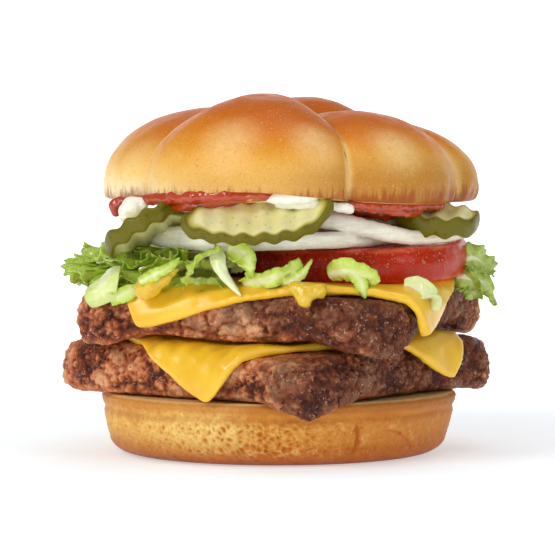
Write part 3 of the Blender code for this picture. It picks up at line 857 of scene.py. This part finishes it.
def onion_finish(settings):
    """Raw onion: watery white with fine greenish fibres, and a faint tan cast towards the right and the
    back that is painted shade.
    """
    f = Finish(
        "raw onion",
        specular_ior_level=0.6,
        subsurface_weight=0.4,
        subsurface_radius=(0.006, 0.005, 0.003),
        coat_roughness=0.1,
    )
    fibre = f.grain(1.0, 3, 0.6, f.stretched(0.25, 0.25, 1.6))
    color = f.blend(f.span(fibre, 0.4, 0.72) * 0.45, tuple(settings.onion_color), tone(214, 212, 178))
    # Painted shade: tan towards the right and towards the back, under the bun.
    color = f.blend(f.span(f.across("X"), 0.02, 0.052) * 0.55, color, tone(214, 190, 150))
    color = f.blend(f.span(f.across("Y"), -0.026, 0.02) * 0.45, color, tone(206, 186, 146))
    normal = f.bump(fibre, 0.12, 0.5)
    return f.done(color, f.span(f.grain(3, 2), 0.35, 0.65, 0.2, 0.36), normal, 0.4)


# Each chip: half its length and width, how thick it is, how far its end curls up, its place and turn.
CHIPS = {
    "pickle_front": ((21.0, 8.9), 3.2, 4.2, (-5.5, -47.2, 67.6), (36, -3, 2)),
    "pickle_left": ((13.0, 13.5), 4.6, 0.0, (-36.4, -29.5, 65.0), (-14, -28, 6)),
    "pickle_right": ((12.5, 13.5), 5.2, 0.0, (44.2, -17.6, 66.9), (8, 5, -8)),
    "pickle_back": ((12.0, 12.5), 3.0, 0.0, (33.0, 17.0, 68.7), (-1, 4, 12)),
}
RIND_ROUNDING = 0.9
CRINKLE_DEPTH = 0.55
CRINKLE_LENGTH = 5.6


def pickle_form(half, thick, curl, seed):
    """A crinkle-cut chip: waved faces, a rounded rind, and one end that may curl up."""
    half_x, half_y = half
    flat = 62 * DEG
    bm = ball(160, 56)
    rind = bm.verts.layers.float.new("rind")
    for vert in bm.verts:
        longitude, latitude = bearings(vert.co)
        to_x, to_y = math.cos(longitude), math.sin(longitude)
        reach = half_x * half_y / math.hypot(half_y * to_x, half_x * to_y)
        reach *= 1 + 0.02 * noise.noise(Vector((to_x * 2, to_y * 2, seed)))
        radius, rise = reach - RIND_ROUNDING, 1.0
        if abs(latitude) > 90 * DEG - flat:
            radius *= (90 * DEG - abs(latitude)) / flat
        else:
            around = abs(latitude) / (90 * DEG - flat) * math.pi / 2
            radius += RIND_ROUNDING * math.cos(around)
            rise = math.sin(around)
        x, y = radius * to_x, radius * to_y
        wave = CRINKLE_DEPTH * math.sin(2 * math.pi * x / CRINKLE_LENGTH)
        lifted = curl * max(0.0, (x - 0.4 * half_x) / (0.6 * half_x)) ** 2
        droop = 0.5 * noise.noise(Vector((x / 9, y / 9, seed)))
        vert[rind] = radius / reach
        vert.co = Vector((x, y, math.copysign(rise, latitude) * thick / 2 + wave + lifted + droop))
    bmesh.ops.recalc_face_normals(bm, faces=bm.faces)
    return bm


def pickle_finish(settings):
    """Pickled cucumber: olive rind, a darker line inside it, and pale wet flesh with a seedy middle."""
    f = Finish(
        "pickled cucumber",
        specular_ior_level=0.25,
        subsurface_weight=0.12,
        subsurface_radius=(0.004, 0.004, 0.001),
        coat_roughness=0.08,
    )
    rind = f.amount("rind") + (f.grain(2.4, 3) - 0.5) * 0.05
    flesh = f.blend(f.span(f.grain(3.2, 3), 0.38, 0.66), tuple(settings.flesh_color), tone(226, 220, 166))
    seeds = f.span(f.cells(2.6), 0.25, 0.1) * f.span(rind, 0.72, 0.5)
    flesh = f.blend(seeds * 0.5, flesh, tone(172, 166, 84))
    color = f.blend(f.span(rind, 0.78, 0.9), flesh, tone(176, 164, 62))
    color = f.blend(f.span(rind, 0.87, 0.94), color, tuple(settings.rind_color))
    warts = f.span(f.grain(2.0, 3), 0.56, 0.7) * f.span(rind, 0.93, 0.97)
    color = f.blend(warts * 0.6, color, tone(68, 62, 10))
    normal = f.bump(f.grain(0.9, 3), 0.1, 0.6)
    return f.done(color, f.span(f.grain(3, 2), 0.35, 0.65, 0.3, 0.5), normal, 0.03)


class BURGER_OT_tomato(bpy.types.Operator):
    """Adds the tomato slice and the water on it"""

    bl_idname = "mesh.burger_tomato"
    bl_label = "Tomato"

    def execute(self, context):
        settings = context.scene.burger_salad

        def uneven(point, normal):
            return 0.12 + 0.3 * noise.noise(point / 11) + 0.06 * noise.noise(point / 2.2)

        bm = evened(copied("tomato_slice"), size=0.7, smoothing=6)
        for vert in bm.verts:
            vert.co.z -= 1.2 * smoothstep((56 - vert.co.z) / 4) + 0.028 * max(0.0, 25 - vert.co.x)
        raised(bm, uneven)
        noted(bm, "cut", lambda point, normal: abs(normal.z))
        add_piece(bm, "wet_tomato_slice", tomato_finish(settings), "tomato", "tomato_slice")
        add_piece(droplets(settings.droplets), "tomato_droplets", water_finish(), "tomato")
        return {"FINISHED"}


RING_MIDDLE = Vector((-0.5, -3.0, 62.0))
INNER_RING_SCALE = (0.7, 0.7, 1.0)
INNER_RING_SHIFT = Vector((-4.0, -4.0, 3.4))


class BURGER_OT_onion(bpy.types.Operator):
    """Adds both onion rings, and a smaller ring inside them"""

    bl_idname = "mesh.burger_onion"
    bl_label = "Onion"

    def execute(self, context):
        finish = onion_finish(context.scene.burger_salad)

        def ribbed(point, normal):
            return 0.3 + 0.22 * noise.noise(Vector((point.x / 8, point.y / 8, point.z / 2.2)))

        for level in ("lower", "upper"):
            node = "onion_ring_" + level
            bm = evened(copied(node), size=0.45, smoothing=5)
            for vert in bm.verts:
                vert.co.z -= 1.1 * smoothstep((10 - vert.co.x) / 30) * smoothstep(-vert.co.y / 20)
            raised(bm, ribbed)
            add_piece(bm, f"raw_{level}_ring", finish, "onion", node)
        inner = copied("onion_ring_lower")
        bmesh.ops.translate(inner, vec=-RING_MIDDLE, verts=inner.verts)
        bmesh.ops.scale(inner, vec=INNER_RING_SCALE, verts=inner.verts)
        bmesh.ops.translate(inner, vec=RING_MIDDLE + INNER_RING_SHIFT, verts=inner.verts)
        add_piece(evened(inner, size=0.6, smoothing=5), "raw_inner_ring", finish, "onion")
        return {"FINISHED"}


class BURGER_OT_pickles(bpy.types.Operator):
    """Adds the crinkle-cut pickle chips"""

    bl_idname = "mesh.burger_pickles"
    bl_label = "Pickles"

    def execute(self, context):
        finish = pickle_finish(context.scene.burger_salad)
        for seed, (node, (half, thick, curl, at, turn)) in enumerate(CHIPS.items()):
            bm = placed(pickle_form(half, thick, curl, seed), at, turn)
            add_piece(bm, "crinkled_" + node, finish, "pickle", node)
        return {"FINISHED"}


# ---------------------------------------------------------------- lettuce

def leaf_mesh():
    """An empty mesh that can hold how near the edge and how near the rib each point of a leaf is."""
    bm = bmesh.new()
    bm.verts.layers.float.new("edge")
    bm.verts.layers.float.new("rib")
    return bm


def leaf_grid(bm, cells):
    """A fresh grid of points in the leaf mesh; x and y run from -1 to 1."""
    before = set(bm.verts)
    bmesh.ops.create_grid(bm, x_segments=cells[0], y_segments=cells[1], size=1)
    return [vert for vert in bm.verts if vert not in before]


def add_leaf(bm, root, azimuth, pitch, length, width, curl, frill, ruffles, rng):
    """One frilled leaf that grows from root: its ruffles deepen towards a ragged edge."""
    edge, rib = bm.verts.layers.float["edge"], bm.verts.layers.float["rib"]
    out = Vector((math.cos(azimuth), math.sin(azimuth), 0))
    side = Vector((-out.y, out.x, 0))
    phase, second, third, seed = (rng.uniform(0, 6.3) for _ in range(4))
    seed *= 15
    lean = rng.uniform(-0.5, 0.5)
    for vert in leaf_grid(bm, (56, 12)):
        s, t = vert.co.x, (vert.co.y + 1) / 2
        turn = ruffles * math.pi * s
        ragged = 0.22 * noise.noise(Vector((s * 3.2, seed, 0)))
        ragged += 0.2 * noise.noise(Vector((s * 14, seed, 3)))
        along = length * t * (1 - 0.24 * s * s + ragged)
        wave = frill * t**1.4 * math.sin(turn + phase)
        wave += 0.45 * frill * t**2.4 * math.sin(2.35 * turn + second)
        wave += 0.2 * frill * t**4 * math.sin(6.1 * turn + third)
        wave += 0.4 * frill * noise.noise(Vector((s * 4, t * 3, seed)))
        gather = 0.6 * frill * t * math.cos(turn + phase)
        gather += 0.25 * frill * t * t * math.cos(2.35 * turn + second)
        tilt = pitch + curl * t + lean * s * t
        middle = pitch + curl * t / 2 + lean * s * t / 2
        forward, up = along * math.cos(middle), along * math.sin(middle)
        vert[edge] = t
        vert[rib] = hill(s, 0.10 + 0.06 * t) * (1 - 0.75 * t)
        vert.co = root + out * (forward - wave * math.sin(tilt))
        vert.co += side * (s * width / 2 * (0.5 + 0.5 * t) + gather)
        vert.co.z += up + wave * math.cos(tilt)


def along_curve(points, share):
    """A smooth curve through the points, at a share of its run."""
    run = share * (len(points) - 1)
    index = min(int(run), len(points) - 2)
    t = run - index
    p1, p2 = Vector(points[index]), Vector(points[index + 1])
    p0 = Vector(points[index - 1]) if index else 2 * p1 - p2
    p3 = Vector(points[index + 2]) if index + 2 < len(points) else 2 * p2 - p1
    bend = (2 * p0 - 5 * p1 + 4 * p2 - p3) * t**2
    twist = (3 * p1 - p0 - 3 * p2 + p3) * t**3
    return 0.5 * (2 * p1 + (p2 - p0) * t + bend + twist)


def add_blade(bm, spine, width, across, bow=0.0, ruffle=0.5, teeth=0.12, pale=0.0, tip=0.0, seed=0):
    """A torn strip of leaf along a spine; it narrows to its tip and is ruffled along its two edges."""
    edge, rib = bm.verts.layers.float["edge"], bm.verts.layers.float["rib"]
    over = Vector(across).normalized()
    for vert in leaf_grid(bm, (16, 44)):
        s, t = vert.co.x, (vert.co.y + 1) / 2
        ahead = (along_curve(spine, min(t + 0.02, 1)) - along_curve(spine, max(t - 0.02, 0))).normalized()
        level = (over - ahead * over.dot(ahead)).normalized()
        up = ahead.cross(level)
        swell = (1 - (1 - tip) * t**2.2) * (0.55 + 0.45 * min(1.0, t * 4))
        torn = 1 + teeth * noise.noise(Vector((t * 9, seed, s > 0)))
        torn += 0.7 * teeth * noise.noise(Vector((t * 23, seed, s > 0)))
        half = width / 2 * swell * torn
        out = abs(s)
        wave = ruffle * out**1.6 * math.sin(17 * t + 2.4 * (s > 0) + seed)
        wave += 0.5 * ruffle * out**3 * math.sin(41 * t + 1.3 * (s > 0) + 2 * seed)
        wave += 0.35 * ruffle * noise.noise(Vector((s * 2, t * 5, seed)))
        vert[edge] = max(out**1.5, t**6) * (1 - 0.7 * pale)
        vert[rib] = max(hill(s, 0.22) * (1 - t) * 1.2, pale)
        vert.co = along_curve(spine, t) + level * (s * half) + up * (wave + bow * s * s)


def leaf_finish(settings):
    """Fresh lettuce: pale ribs and veins, bright blades and slightly darker frilled edges."""
    f = Finish(
        "fresh lettuce",
        specular_ior_level=0.5,
        subsurface_weight=0.35,
        subsurface_radius=(0.003, 0.004, 0.001),
        coat_roughness=0.15,
    )
    edge = f.amount("edge") + (f.grain(4.5, 3) - 0.5) * 0.5
    green = f.ramp(
        edge,
        (0.0, tone(230, 238, 164)),
        (0.3, tone(212, 228, 110)),
        (0.65, tuple(settings.leaf_color)),
        (1.0, tone(168, 196, 60)),
    )
    green = f.blend(f.span(f.across("X"), 0.040, 0.054) * 0.5, green, tone(100, 130, 28))
    green = f.blend(f.span(f.amount("rib"), 0.25, 0.75), green, tuple(settings.rib_color))
    veins = f.cells(3.4, "DISTANCE_TO_EDGE")
    green = f.blend(f.span(veins, 0.1, 0.0) * 0.3, green, tone(214, 226, 142))
    normal = f.bump(f.span(veins, 0.0, 0.3), 0.3, 0.5)
    normal = f.bump(f.grain(1.2, 3), 0.16, 0.6, normal)
    return f.done(green, f.span(f.grain(5, 2), 0.3, 0.7, 0.24, 0.42), normal, 0.2)


def thickened(piece, thickness):
    wall = piece.modifiers.new("leaf thickness", "SOLIDIFY")
    wall.thickness = thickness * MM
    wall.offset = 0


# The leaves' layers, from the lowest: how far out and how high a leaf grows, how much lower it is at
# the front left, its pitch in degrees, its curl, and how much longer it is than the others.
LEAF_LAYERS = (
    (37, 50.8, 1.6, -16, -0.5, 0),
    (41, 52.6, 1.6, -2, -0.5, 0),
    (39, 54.4, 1.6, 9, -0.2, 0),
    (27, 57.2, 4.5, 2, -0.35, 4),
)
BED_MIDDLE = (-3, 3)


def frill_bed(count):
    """Leaves that come out from between the cheese and the onion, all round but for the front right."""
    rng = random.Random(5)
    bm = leaf_mesh()
    for number in range(count):
        azimuth = (-112 - 257 * (number + rng.uniform(-0.3, 0.3)) / count) * DEG
        out, high, drop, pitch, curl, longer = LEAF_LAYERS[number % len(LEAF_LAYERS)]
        front = hill(angle_between(azimuth, FRONT_LEFT), 0.5)
        reach = out + rng.uniform(-2, 2) + 1.5 * front
        x, y = BED_MIDDLE[0] + reach * math.cos(azimuth), BED_MIDDLE[1] + reach * math.sin(azimuth)
        root = Vector((x, y, high - drop * front))
        pitch = pitch * DEG + rng.uniform(-0.16, 0.16)
        curl += rng.uniform(-0.45, 0.35)
        length = rng.uniform(12, 17.5) * (1 - 0.45 * front) + longer
        add_leaf(
            bm,
            root,
            azimuth + rng.uniform(-0.35, 0.35),
            pitch,
            length,
            rng.uniform(18, 28),
            curl,
            rng.uniform(1.3, 2.3) * (1 - 0.3 * front),
            rng.uniform(2.2, 3.8),
            rng,
        )
    return bm


# Each piece has blades, each with its spine, its width, the direction it lies across, and how it curls.
LOOSE_LEAVES = {
    "lettuce_rib_left": (
        dict(
            spine=((-45.6, -35.6, 54.2), (-47.6, -39.2, 51.2), (-48.6, -40.6, 47.6), (-47.0, -39.0, 44.6)),
            width=10.5, across=(0.8, -0.3, 0.55),
            bow=-0.7, ruffle=0.15, teeth=0.03, pale=0.45, tip=0.85, seed=1,
        ),
        dict(
            spine=((-46.0, -38.2, 45.2), (-42.0, -41.0, 47.4), (-36.0, -42.0, 50.0), (-31.0, -41.4, 51.2)),
            width=5.0, across=(0.1, -0.5, 0.8),
            bow=0.6, ruffle=0.5, pale=0.1, tip=0.3, seed=2,
        ),
        dict(
            spine=((-37.6, -48.6, 51.0), (-34.2, -49.2, 52.8), (-30.4, -48.6, 54.6), (-26.8, -46.6, 57.0)),
            width=3.8, across=(-0.5, -0.3, 0.8),
            bow=0.5, ruffle=0.35, teeth=0.2, pale=0.1, tip=0.3, seed=14,
        ),
    ),
    "lettuce_leaf_middle": (
        dict(
            spine=((-16.5, -42.5, 59.6), (-16.4, -46.4, 57.4), (-14.8, -48.4, 53.4), (-10.0, -50.2, 47.4)),
            width=4.6, across=(0.9, 0.1, 0.3),
            bow=-0.8, ruffle=0.2, teeth=0.06, pale=0.7, tip=0.05, seed=3,
        ),
        dict(
            spine=((-16.0, -43.5, 58.8), (-20.5, -46.5, 57.6), (-23.6, -47.2, 53.6), (-25.0, -46.6, 50.2)),
            width=7.5, across=(0.4, -0.8, 0.4),
            bow=0.8, ruffle=0.6, tip=0.2, seed=4,
        ),
        dict(
            spine=((-13.6, -43.0, 59.8), (-9.2, -46.0, 58.6), (-7.2, -47.8, 55.2), (-7.0, -48.4, 51.8)),
            width=7.0, across=(0.7, -0.3, 0.7),
            bow=1.2, ruffle=0.6, tip=0.05, seed=5,
        ),
    ),
    "lettuce_leaf_front": (
        dict(
            spine=((-9.5, -44.0, 50.4), (-4.0, -47.4, 51.4), (1.6, -47.6, 53.2), (6.4, -46.4, 56.4)),
            width=5.6, across=(-0.3, -0.3, 0.9),
            bow=0.5, ruffle=0.8, teeth=0.22, pale=0.12, tip=0.5, seed=6,
        ),
        dict(
            spine=((0.6, -46.0, 50.6), (4.0, -48.2, 51.2), (7.0, -48.0, 53.6), (9.4, -46.6, 57.0)),
            width=3.4, across=(0.8, -0.2, -0.4),
            bow=0.3, ruffle=0.4, pale=0.3, tip=0.05, seed=7,
        ),
    ),
    "lettuce_leaf_right": (
        dict(
            spine=((14.0, -44.0, 52.4), (18.0, -47.4, 53.8), (23.4, -48.2, 52.6), (26.4, -47.0, 49.8)),
            width=7.6, across=(-0.2, -0.5, 0.9),
            bow=-1.0, ruffle=0.5, pale=0.15, tip=0.6, seed=8,
        ),
        dict(
            spine=((20.0, -46.6, 53.8), (22.4, -49.0, 51.6), (23.2, -50.0, 49.0), (23.8, -49.6, 46.6)),
            width=4.6, across=(0.9, 0.1, 0.1),
            bow=-0.4, ruffle=0.3, pale=0.05, tip=0.1, seed=9,
        ),
    ),
    "lettuce_leaf_far_right": (
        dict(
            spine=((51.0, -10.0, 54.6), (55.6, -8.6, 55.4), (59.0, -5.4, 53.4), (61.4, -4.0, 50.6)),
            width=8.5, across=(0.2, 0.4, 0.9),
            bow=1.0, ruffle=1.1, teeth=0.3, tip=0.3, seed=11,
        ),
        dict(
            spine=((50.6, -10.6, 50.4), (54.8, -10.6, 50.0), (59.0, -8.4, 47.8), (62.4, -6.0, 42.0)),
            width=8.0, across=(0.3, 0.1, 0.9),
            bow=-1.0, ruffle=1.2, teeth=0.3, tip=0.1, seed=12,
        ),
        dict(
            spine=((49.6, -9.0, 52.4), (53.4, -10.0, 49.4), (55.4, -9.4, 46.6), (56.4, -8.0, 44.0)),
            width=7.4, across=(0.9, -0.3, 0.3),
            bow=1.0, ruffle=0.8, teeth=0.2, pale=0.2, tip=0.5, seed=13,
        ),
    ),
    "lettuce_rib_right": (
        dict(
            spine=((34.6, -41.2, 49.4), (38.6, -42.4, 48.8), (42.4, -43.8, 46.2), (42.4, -43.6, 43.0)),
            width=6.6, across=(0.5, -0.45, -0.7),
            bow=-0.9, ruffle=0.15, teeth=0.04, pale=0.55, tip=0.5, seed=10,
        ),
    ),
}


class BURGER_OT_lettuce(bpy.types.Operator):
    """Adds the frilled lettuce, its core and the loose leaf pieces"""

    bl_idname = "mesh.burger_lettuce"
    bl_label = "Lettuce"

    def execute(self, context):
        settings = context.scene.burger_salad
        finish = leaf_finish(settings)

        def shrunk(point, normal):
            return -3.4 + 2.4 * noise.noise(point / 5) + 0.9 * noise.noise(point / 2)

        core = evened(copied("lettuce_bed"), size=1.1, smoothing=10)
        core.verts.layers.float.new("edge")
        core.verts.layers.float.new("rib")
        raised(core, shrunk)
        add_piece(core, "packed_lettuce", finish, "leaf", "lettuce_bed")
        thickened(add_piece(frill_bed(settings.frills), "frilled_lettuce", finish, "leaf"), 0.3)
        for node, blades in LOOSE_LEAVES.items():
            bm = leaf_mesh()
            for blade in blades:
                add_blade(bm, **blade)
            name = "torn_" + node.removeprefix("lettuce_")
            thickened(add_piece(bm, name, finish, "leaf", node), 0.45)
        return {"FINISHED"}


# ---------------------------------------------------------------- sauces

def sauce_finish(name, color, thin_color, roughness, translucent):
    """A glossy sauce, its colour mixed in random patches with a second tone."""
    f = Finish(
        name,
        specular_ior_level=0.5,
        subsurface_weight=translucent,
        subsurface_radius=(0.005, 0.003, 0.002),
        coat_roughness=0.05,
    )
    shade = f.blend(f.span(f.grain(3.5, 3), 0.35, 0.7) * 0.6, tuple(color), thin_color)
    normal = f.bump(f.grain(1.6, 2), 0.12, 0.5)
    return f.done(shade, f.span(f.grain(4, 2), 0.3, 0.7, roughness, roughness + 0.12), normal, 0.5)


BLOBS = 7  # between one point of a trail and the next


def dollop(*trails):
    """Sauce squeezed along trails: each point has its place and how thick the sauce is there."""
    bm = bmesh.new()
    for trail in trails:
        for step in range(BLOBS * (len(trail) - 1) + 1):
            run = step / BLOBS
            index = min(int(run), len(trail) - 2)
            start, end = Vector(trail[index]), Vector(trail[index + 1])
            x, y, z, radius = start.lerp(end, run - index)
            radius *= 1 + 0.12 * noise.noise(Vector((x, y, z)) / 2)
            place = Matrix.Translation((x, y, z))
            bmesh.ops.create_uvsphere(bm, u_segments=16, v_segments=9, radius=radius, matrix=place)
    return bm


# Each dollop: its sauce, its name and its trails.
DOLLOPS = {
    "ketchup_left": (
        "ketchup",
        "ketchup_drop",
        (((-43.4, -24.2, 72.0, 1.6), (-45.2, -23.4, 70.8, 1.9), (-45.0, -23.2, 69.2, 1.3)),),
    ),
    "mayo_left": (
        "mayo",
        "mayo_drop",
        (
            (
                (-37.4, -32.4, 71.8, 1.9), (-40.2, -31.6, 70.8, 3.0),
                (-41.4, -31.0, 69.0, 2.7), (-40.4, -31.2, 67.8, 1.8),
            ),
        ),
    ),
    "mayo_front": (
        "mayo",
        "mayo_smear",
        (
            (
                (-7.0, -47.8, 73.8, 0.9), (-1.0, -48.6, 73.8, 1.5), (4.0, -48.8, 73.8, 1.9),
                (8.0, -48.4, 74.2, 1.9), (11.4, -47.0, 74.8, 1.2),
            ),
            (
                (0.0, -46.4, 72.2, 1.2), (8.0, -46.6, 72.2, 1.5),
                (15.0, -45.0, 71.6, 1.2), (19.6, -43.6, 70.6, 1.3),
            ),
        ),
    ),
    "mustard_left": (
        "mustard",
        "mustard_blob_left",
        (
            (
                (-36.2, -45.2, 48.8, 2.8), (-34.6, -45.8, 50.0, 3.0), (-31.8, -46.2, 51.6, 2.0),
                (-29.6, -46.0, 52.6, 1.2), (-27.4, -45.6, 54.0, 0.6),
            ),
        ),
    ),
    "mustard_front": (
        "mustard",
        "mustard_blob_front",
        (
            ((4.6, -52.8, 49.6, 1.7), (7.2, -54.0, 48.0, 2.7), (7.4, -54.6, 46.2, 2.0)),
            ((7.2, -54.0, 48.4, 2.6), (11.4, -53.0, 49.0, 2.2)),
        ),
    ),
}
KETCHUP_SMEARS = (
    (
        (-41.0, -27.0, 72.4, 1.2), (-36.0, -33.0, 72.9, 1.5), (-30.0, -38.6, 73.4, 1.7),
        (-23.0, -44.6, 74.0, 1.9), (-14.0, -48.4, 74.3, 2.0),
    ),
    ((-14.0, -48.4, 74.3, 2.0), (-7.0, -48.9, 74.5, 1.7), (0.0, -48.2, 74.2, 1.4)),
    (
        (22.0, -26.0, 69.6, 1.6), (30.0, -24.0, 68.8, 1.9),
        (38.0, -20.0, 69.0, 1.7), (42.0, -16.0, 69.4, 1.4),
    ),
    (
        (20.0, -42.0, 71.8, 1.0), (25.0, -39.6, 71.2, 1.5), (32.0, -35.6, 70.8, 1.5),
        (38.0, -31.4, 70.8, 1.3), (46.0, -22.0, 70.8, 1.2),
    ),
)


class BURGER_OT_sauces(bpy.types.Operator):
    """Adds the ketchup, mayonnaise and mustard"""

    bl_idname = "mesh.burger_sauces"
    bl_label = "Sauces"

    def execute(self, context):
        settings = context.scene.burger_sauce
        ketchup, mayo, mustard = settings.ketchup_color, settings.mayo_color, settings.mustard_color
        finishes = {
            "ketchup": sauce_finish("ketchup gloss", ketchup, tone(196, 74, 26), 0.16, 0.08),
            "mayo": sauce_finish("mayonnaise gloss", mayo, tone(240, 234, 214), 0.25, 0.3),
            "mustard": sauce_finish("mustard gloss", mustard, tone(222, 170, 34), 0.25, 0.15),
        }

        def uneven(point, normal):
            return 0.1 + 0.4 * noise.noise(point / 2.6) + 0.16 * noise.noise(point / 1.1)

        layer = evened(copied("ketchup"), size=0.5, smoothing=4)
        raised(layer, uneven)
        add_piece(layer, "glossy_ketchup", finishes["ketchup"], "ketchup", "ketchup")
        smears = evened(dollop(*KETCHUP_SMEARS), size=0.34, smoothing=5)
        raised(smears, uneven)
        add_piece(smears, "ketchup_smears", finishes["ketchup"], "ketchup")
        for node, (slot, name, trails) in DOLLOPS.items():
            bm = evened(dollop(*trails), size=0.3, smoothing=6)
            raised(bm, uneven)
            add_piece(bm, name, finishes[slot], slot, node)
        return {"FINISHED"}


# ---------------------------------------------------------------- studio

# The studio is in metres. Each softbox: its place, its width and height, its power and its colour.
SOFTBOXES = {
    "key softbox": ((-0.75, -0.75, 0.75), (0.5, 0.5), 5.8, (1.0, 0.985, 0.96)),
    "low softbox": ((-0.4, -1.15, 0.12), (0.4, 0.3), 1.9, (1.0, 1.0, 1.0)),
    "top softbox": ((0.1, 0.05, 1.1), (0.7, 0.7), 3.0, (1.0, 1.0, 1.0)),
    "fill softbox": ((0.85, -0.8, 0.5), (0.5, 0.5), 2.2, (1.0, 1.0, 1.0)),
}
LIT_MIDDLE = (0, 0, 0.05)
ROOM_LIGHT = 0.26
EYE_HEIGHT = 0.105
SEEN_MIDDLE = (0, 0, 0.0495)
FLOOR_LENGTH = 9
FLOOR_REACH = 3  # to the front, and to the back before the floor curves up
SWEEP_RADIUS = 1.5
FLOOR_GAP = 0.0002


def aimed(seen_from, target):
    """The rotation of a lamp or camera that looks from one place to another."""
    return (Vector(target) - Vector(seen_from)).to_track_quat("-Z", "Y").to_euler()


def add_softbox(name, at, size, power, color):
    light = bpy.data.lights.new(name, "AREA")
    light.shape = "RECTANGLE"
    light.size, light.size_y = size
    light.energy = power
    light.color = color
    lamp = in_scene(name, light)
    lamp.location = at
    lamp.rotation_euler = aimed(at, LIT_MIDDLE)


def floor_with_sweep():
    """A wide floor that curves up into a wall far behind."""
    bm = bmesh.new()
    bmesh.ops.create_grid(bm, x_segments=2, y_segments=48, size=1)
    for vert in bm.verts:
        run = (vert.co.y + 1) / 2 * FLOOR_LENGTH - FLOOR_REACH
        y, z = run, 0.0
        if run > FLOOR_REACH:
            turned = min((run - FLOOR_REACH) / SWEEP_RADIUS, math.pi / 2)
            y = FLOOR_REACH + SWEEP_RADIUS * math.sin(turned)
            wall = max(0.0, run - FLOOR_REACH - SWEEP_RADIUS * math.pi / 2)
            z = SWEEP_RADIUS * (1 - math.cos(turned)) + wall
        vert.co = Vector((vert.co.x * 6, y, z - FLOOR_GAP))
    floor = made_object(bm, "studio_floor")
    floor.data.shade_smooth()
    return floor


def paper_finish(color):
    """White paper with painted light: it glows, more away from the middle as a lit backdrop looks, and
    less near the burger so that its shadow still shows.
    """
    f = Finish("lit white paper", roughness=0.9, specular_ior_level=0.0, emission_strength=1.0)
    away = f.node("VectorMath", {"operation": "LENGTH"}, {0: f.place()}, "Value")
    # Painted light: the glow grows from the burger outwards.
    glow = f.span(away, 0.06, 0.4, 0.46, 0.95)
    f.feed(f.shader.inputs["Emission Color"], f.blend(glow, (0.0, 0.0, 0.0), (1.0, 1.0, 1.0)))
    return f.done(color)


class BURGER_OT_studio(bpy.types.Operator):
    """Adds the floor, the lights and the camera"""

    bl_idname = "scene.burger_studio"
    bl_label = "Studio"

    def execute(self, context):
        scene = context.scene
        settings = scene.burger_studio
        floor = floor_with_sweep()
        floor.data.materials.append(paper_finish(tuple(settings.floor_color)))
        world = bpy.data.worlds.new("studio air")
        scene.world = world
        world.use_nodes = True
        background = world.node_tree.nodes["Background"]
        background.inputs["Color"].default_value = (1.0, 1.0, 1.0, 1.0)
        background.inputs["Strength"].default_value = ROOM_LIGHT
        for name, softbox in SOFTBOXES.items():
            add_softbox(name, *softbox)
        camera = bpy.data.cameras.new("camera")
        camera.lens = settings.lens
        camera.sensor_width = 36
        viewer = in_scene("camera", camera)
        viewer.location = (0, -settings.camera_distance, EYE_HEIGHT)
        viewer.rotation_euler = aimed(viewer.location, SEEN_MIDDLE)
        scene.camera = viewer
        scene.view_settings.view_transform = "Standard"
        return {"FINISHED"}


# ---------------------------------------------------------------- add-on

class BURGER_PT_panel(bpy.types.Panel):
    """Lists the burger's pieces"""

    bl_idname = "BURGER_PT_panel"
    bl_label = "Double Cheeseburger"
    bl_space_type = "VIEW_3D"
    bl_region_type = "UI"
    bl_category = "Burger"

    def draw(self, context):
        for operator in OPERATORS:
            self.layout.operator(operator.bl_idname)


SETTINGS = {
    "burger_bun": BunSettings,
    "burger_meat": MeatSettings,
    "burger_cheese": CheeseSettings,
    "burger_salad": SaladSettings,
    "burger_sauce": SauceSettings,
    "burger_studio": StudioSettings,
}
OPERATORS = (
    BURGER_OT_base_bun,
    BURGER_OT_patties,
    BURGER_OT_cheese,
    BURGER_OT_lettuce,
    BURGER_OT_tomato,
    BURGER_OT_onion,
    BURGER_OT_pickles,
    BURGER_OT_sauces,
    BURGER_OT_top_bun,
    BURGER_OT_studio,
)


def register():
    noise.seed_set(WARP_SEED)
    for name, group in SETTINGS.items():
        bpy.utils.register_class(group)
        setattr(bpy.types.Scene, name, PointerProperty(type=group))
    for cls in (*OPERATORS, BURGER_PT_panel):
        bpy.utils.register_class(cls)


def unregister():
    for cls in reversed((*OPERATORS, BURGER_PT_panel)):
        bpy.utils.unregister_class(cls)
    for name, group in reversed(SETTINGS.items()):
        delattr(bpy.types.Scene, name)
        bpy.utils.unregister_class(group)


def main():
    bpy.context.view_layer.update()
    register()
    for operator in OPERATORS:
        group, name = operator.bl_idname.split(".")
        getattr(getattr(bpy.ops, group), name)()


if __name__ == "__main__":
    main()
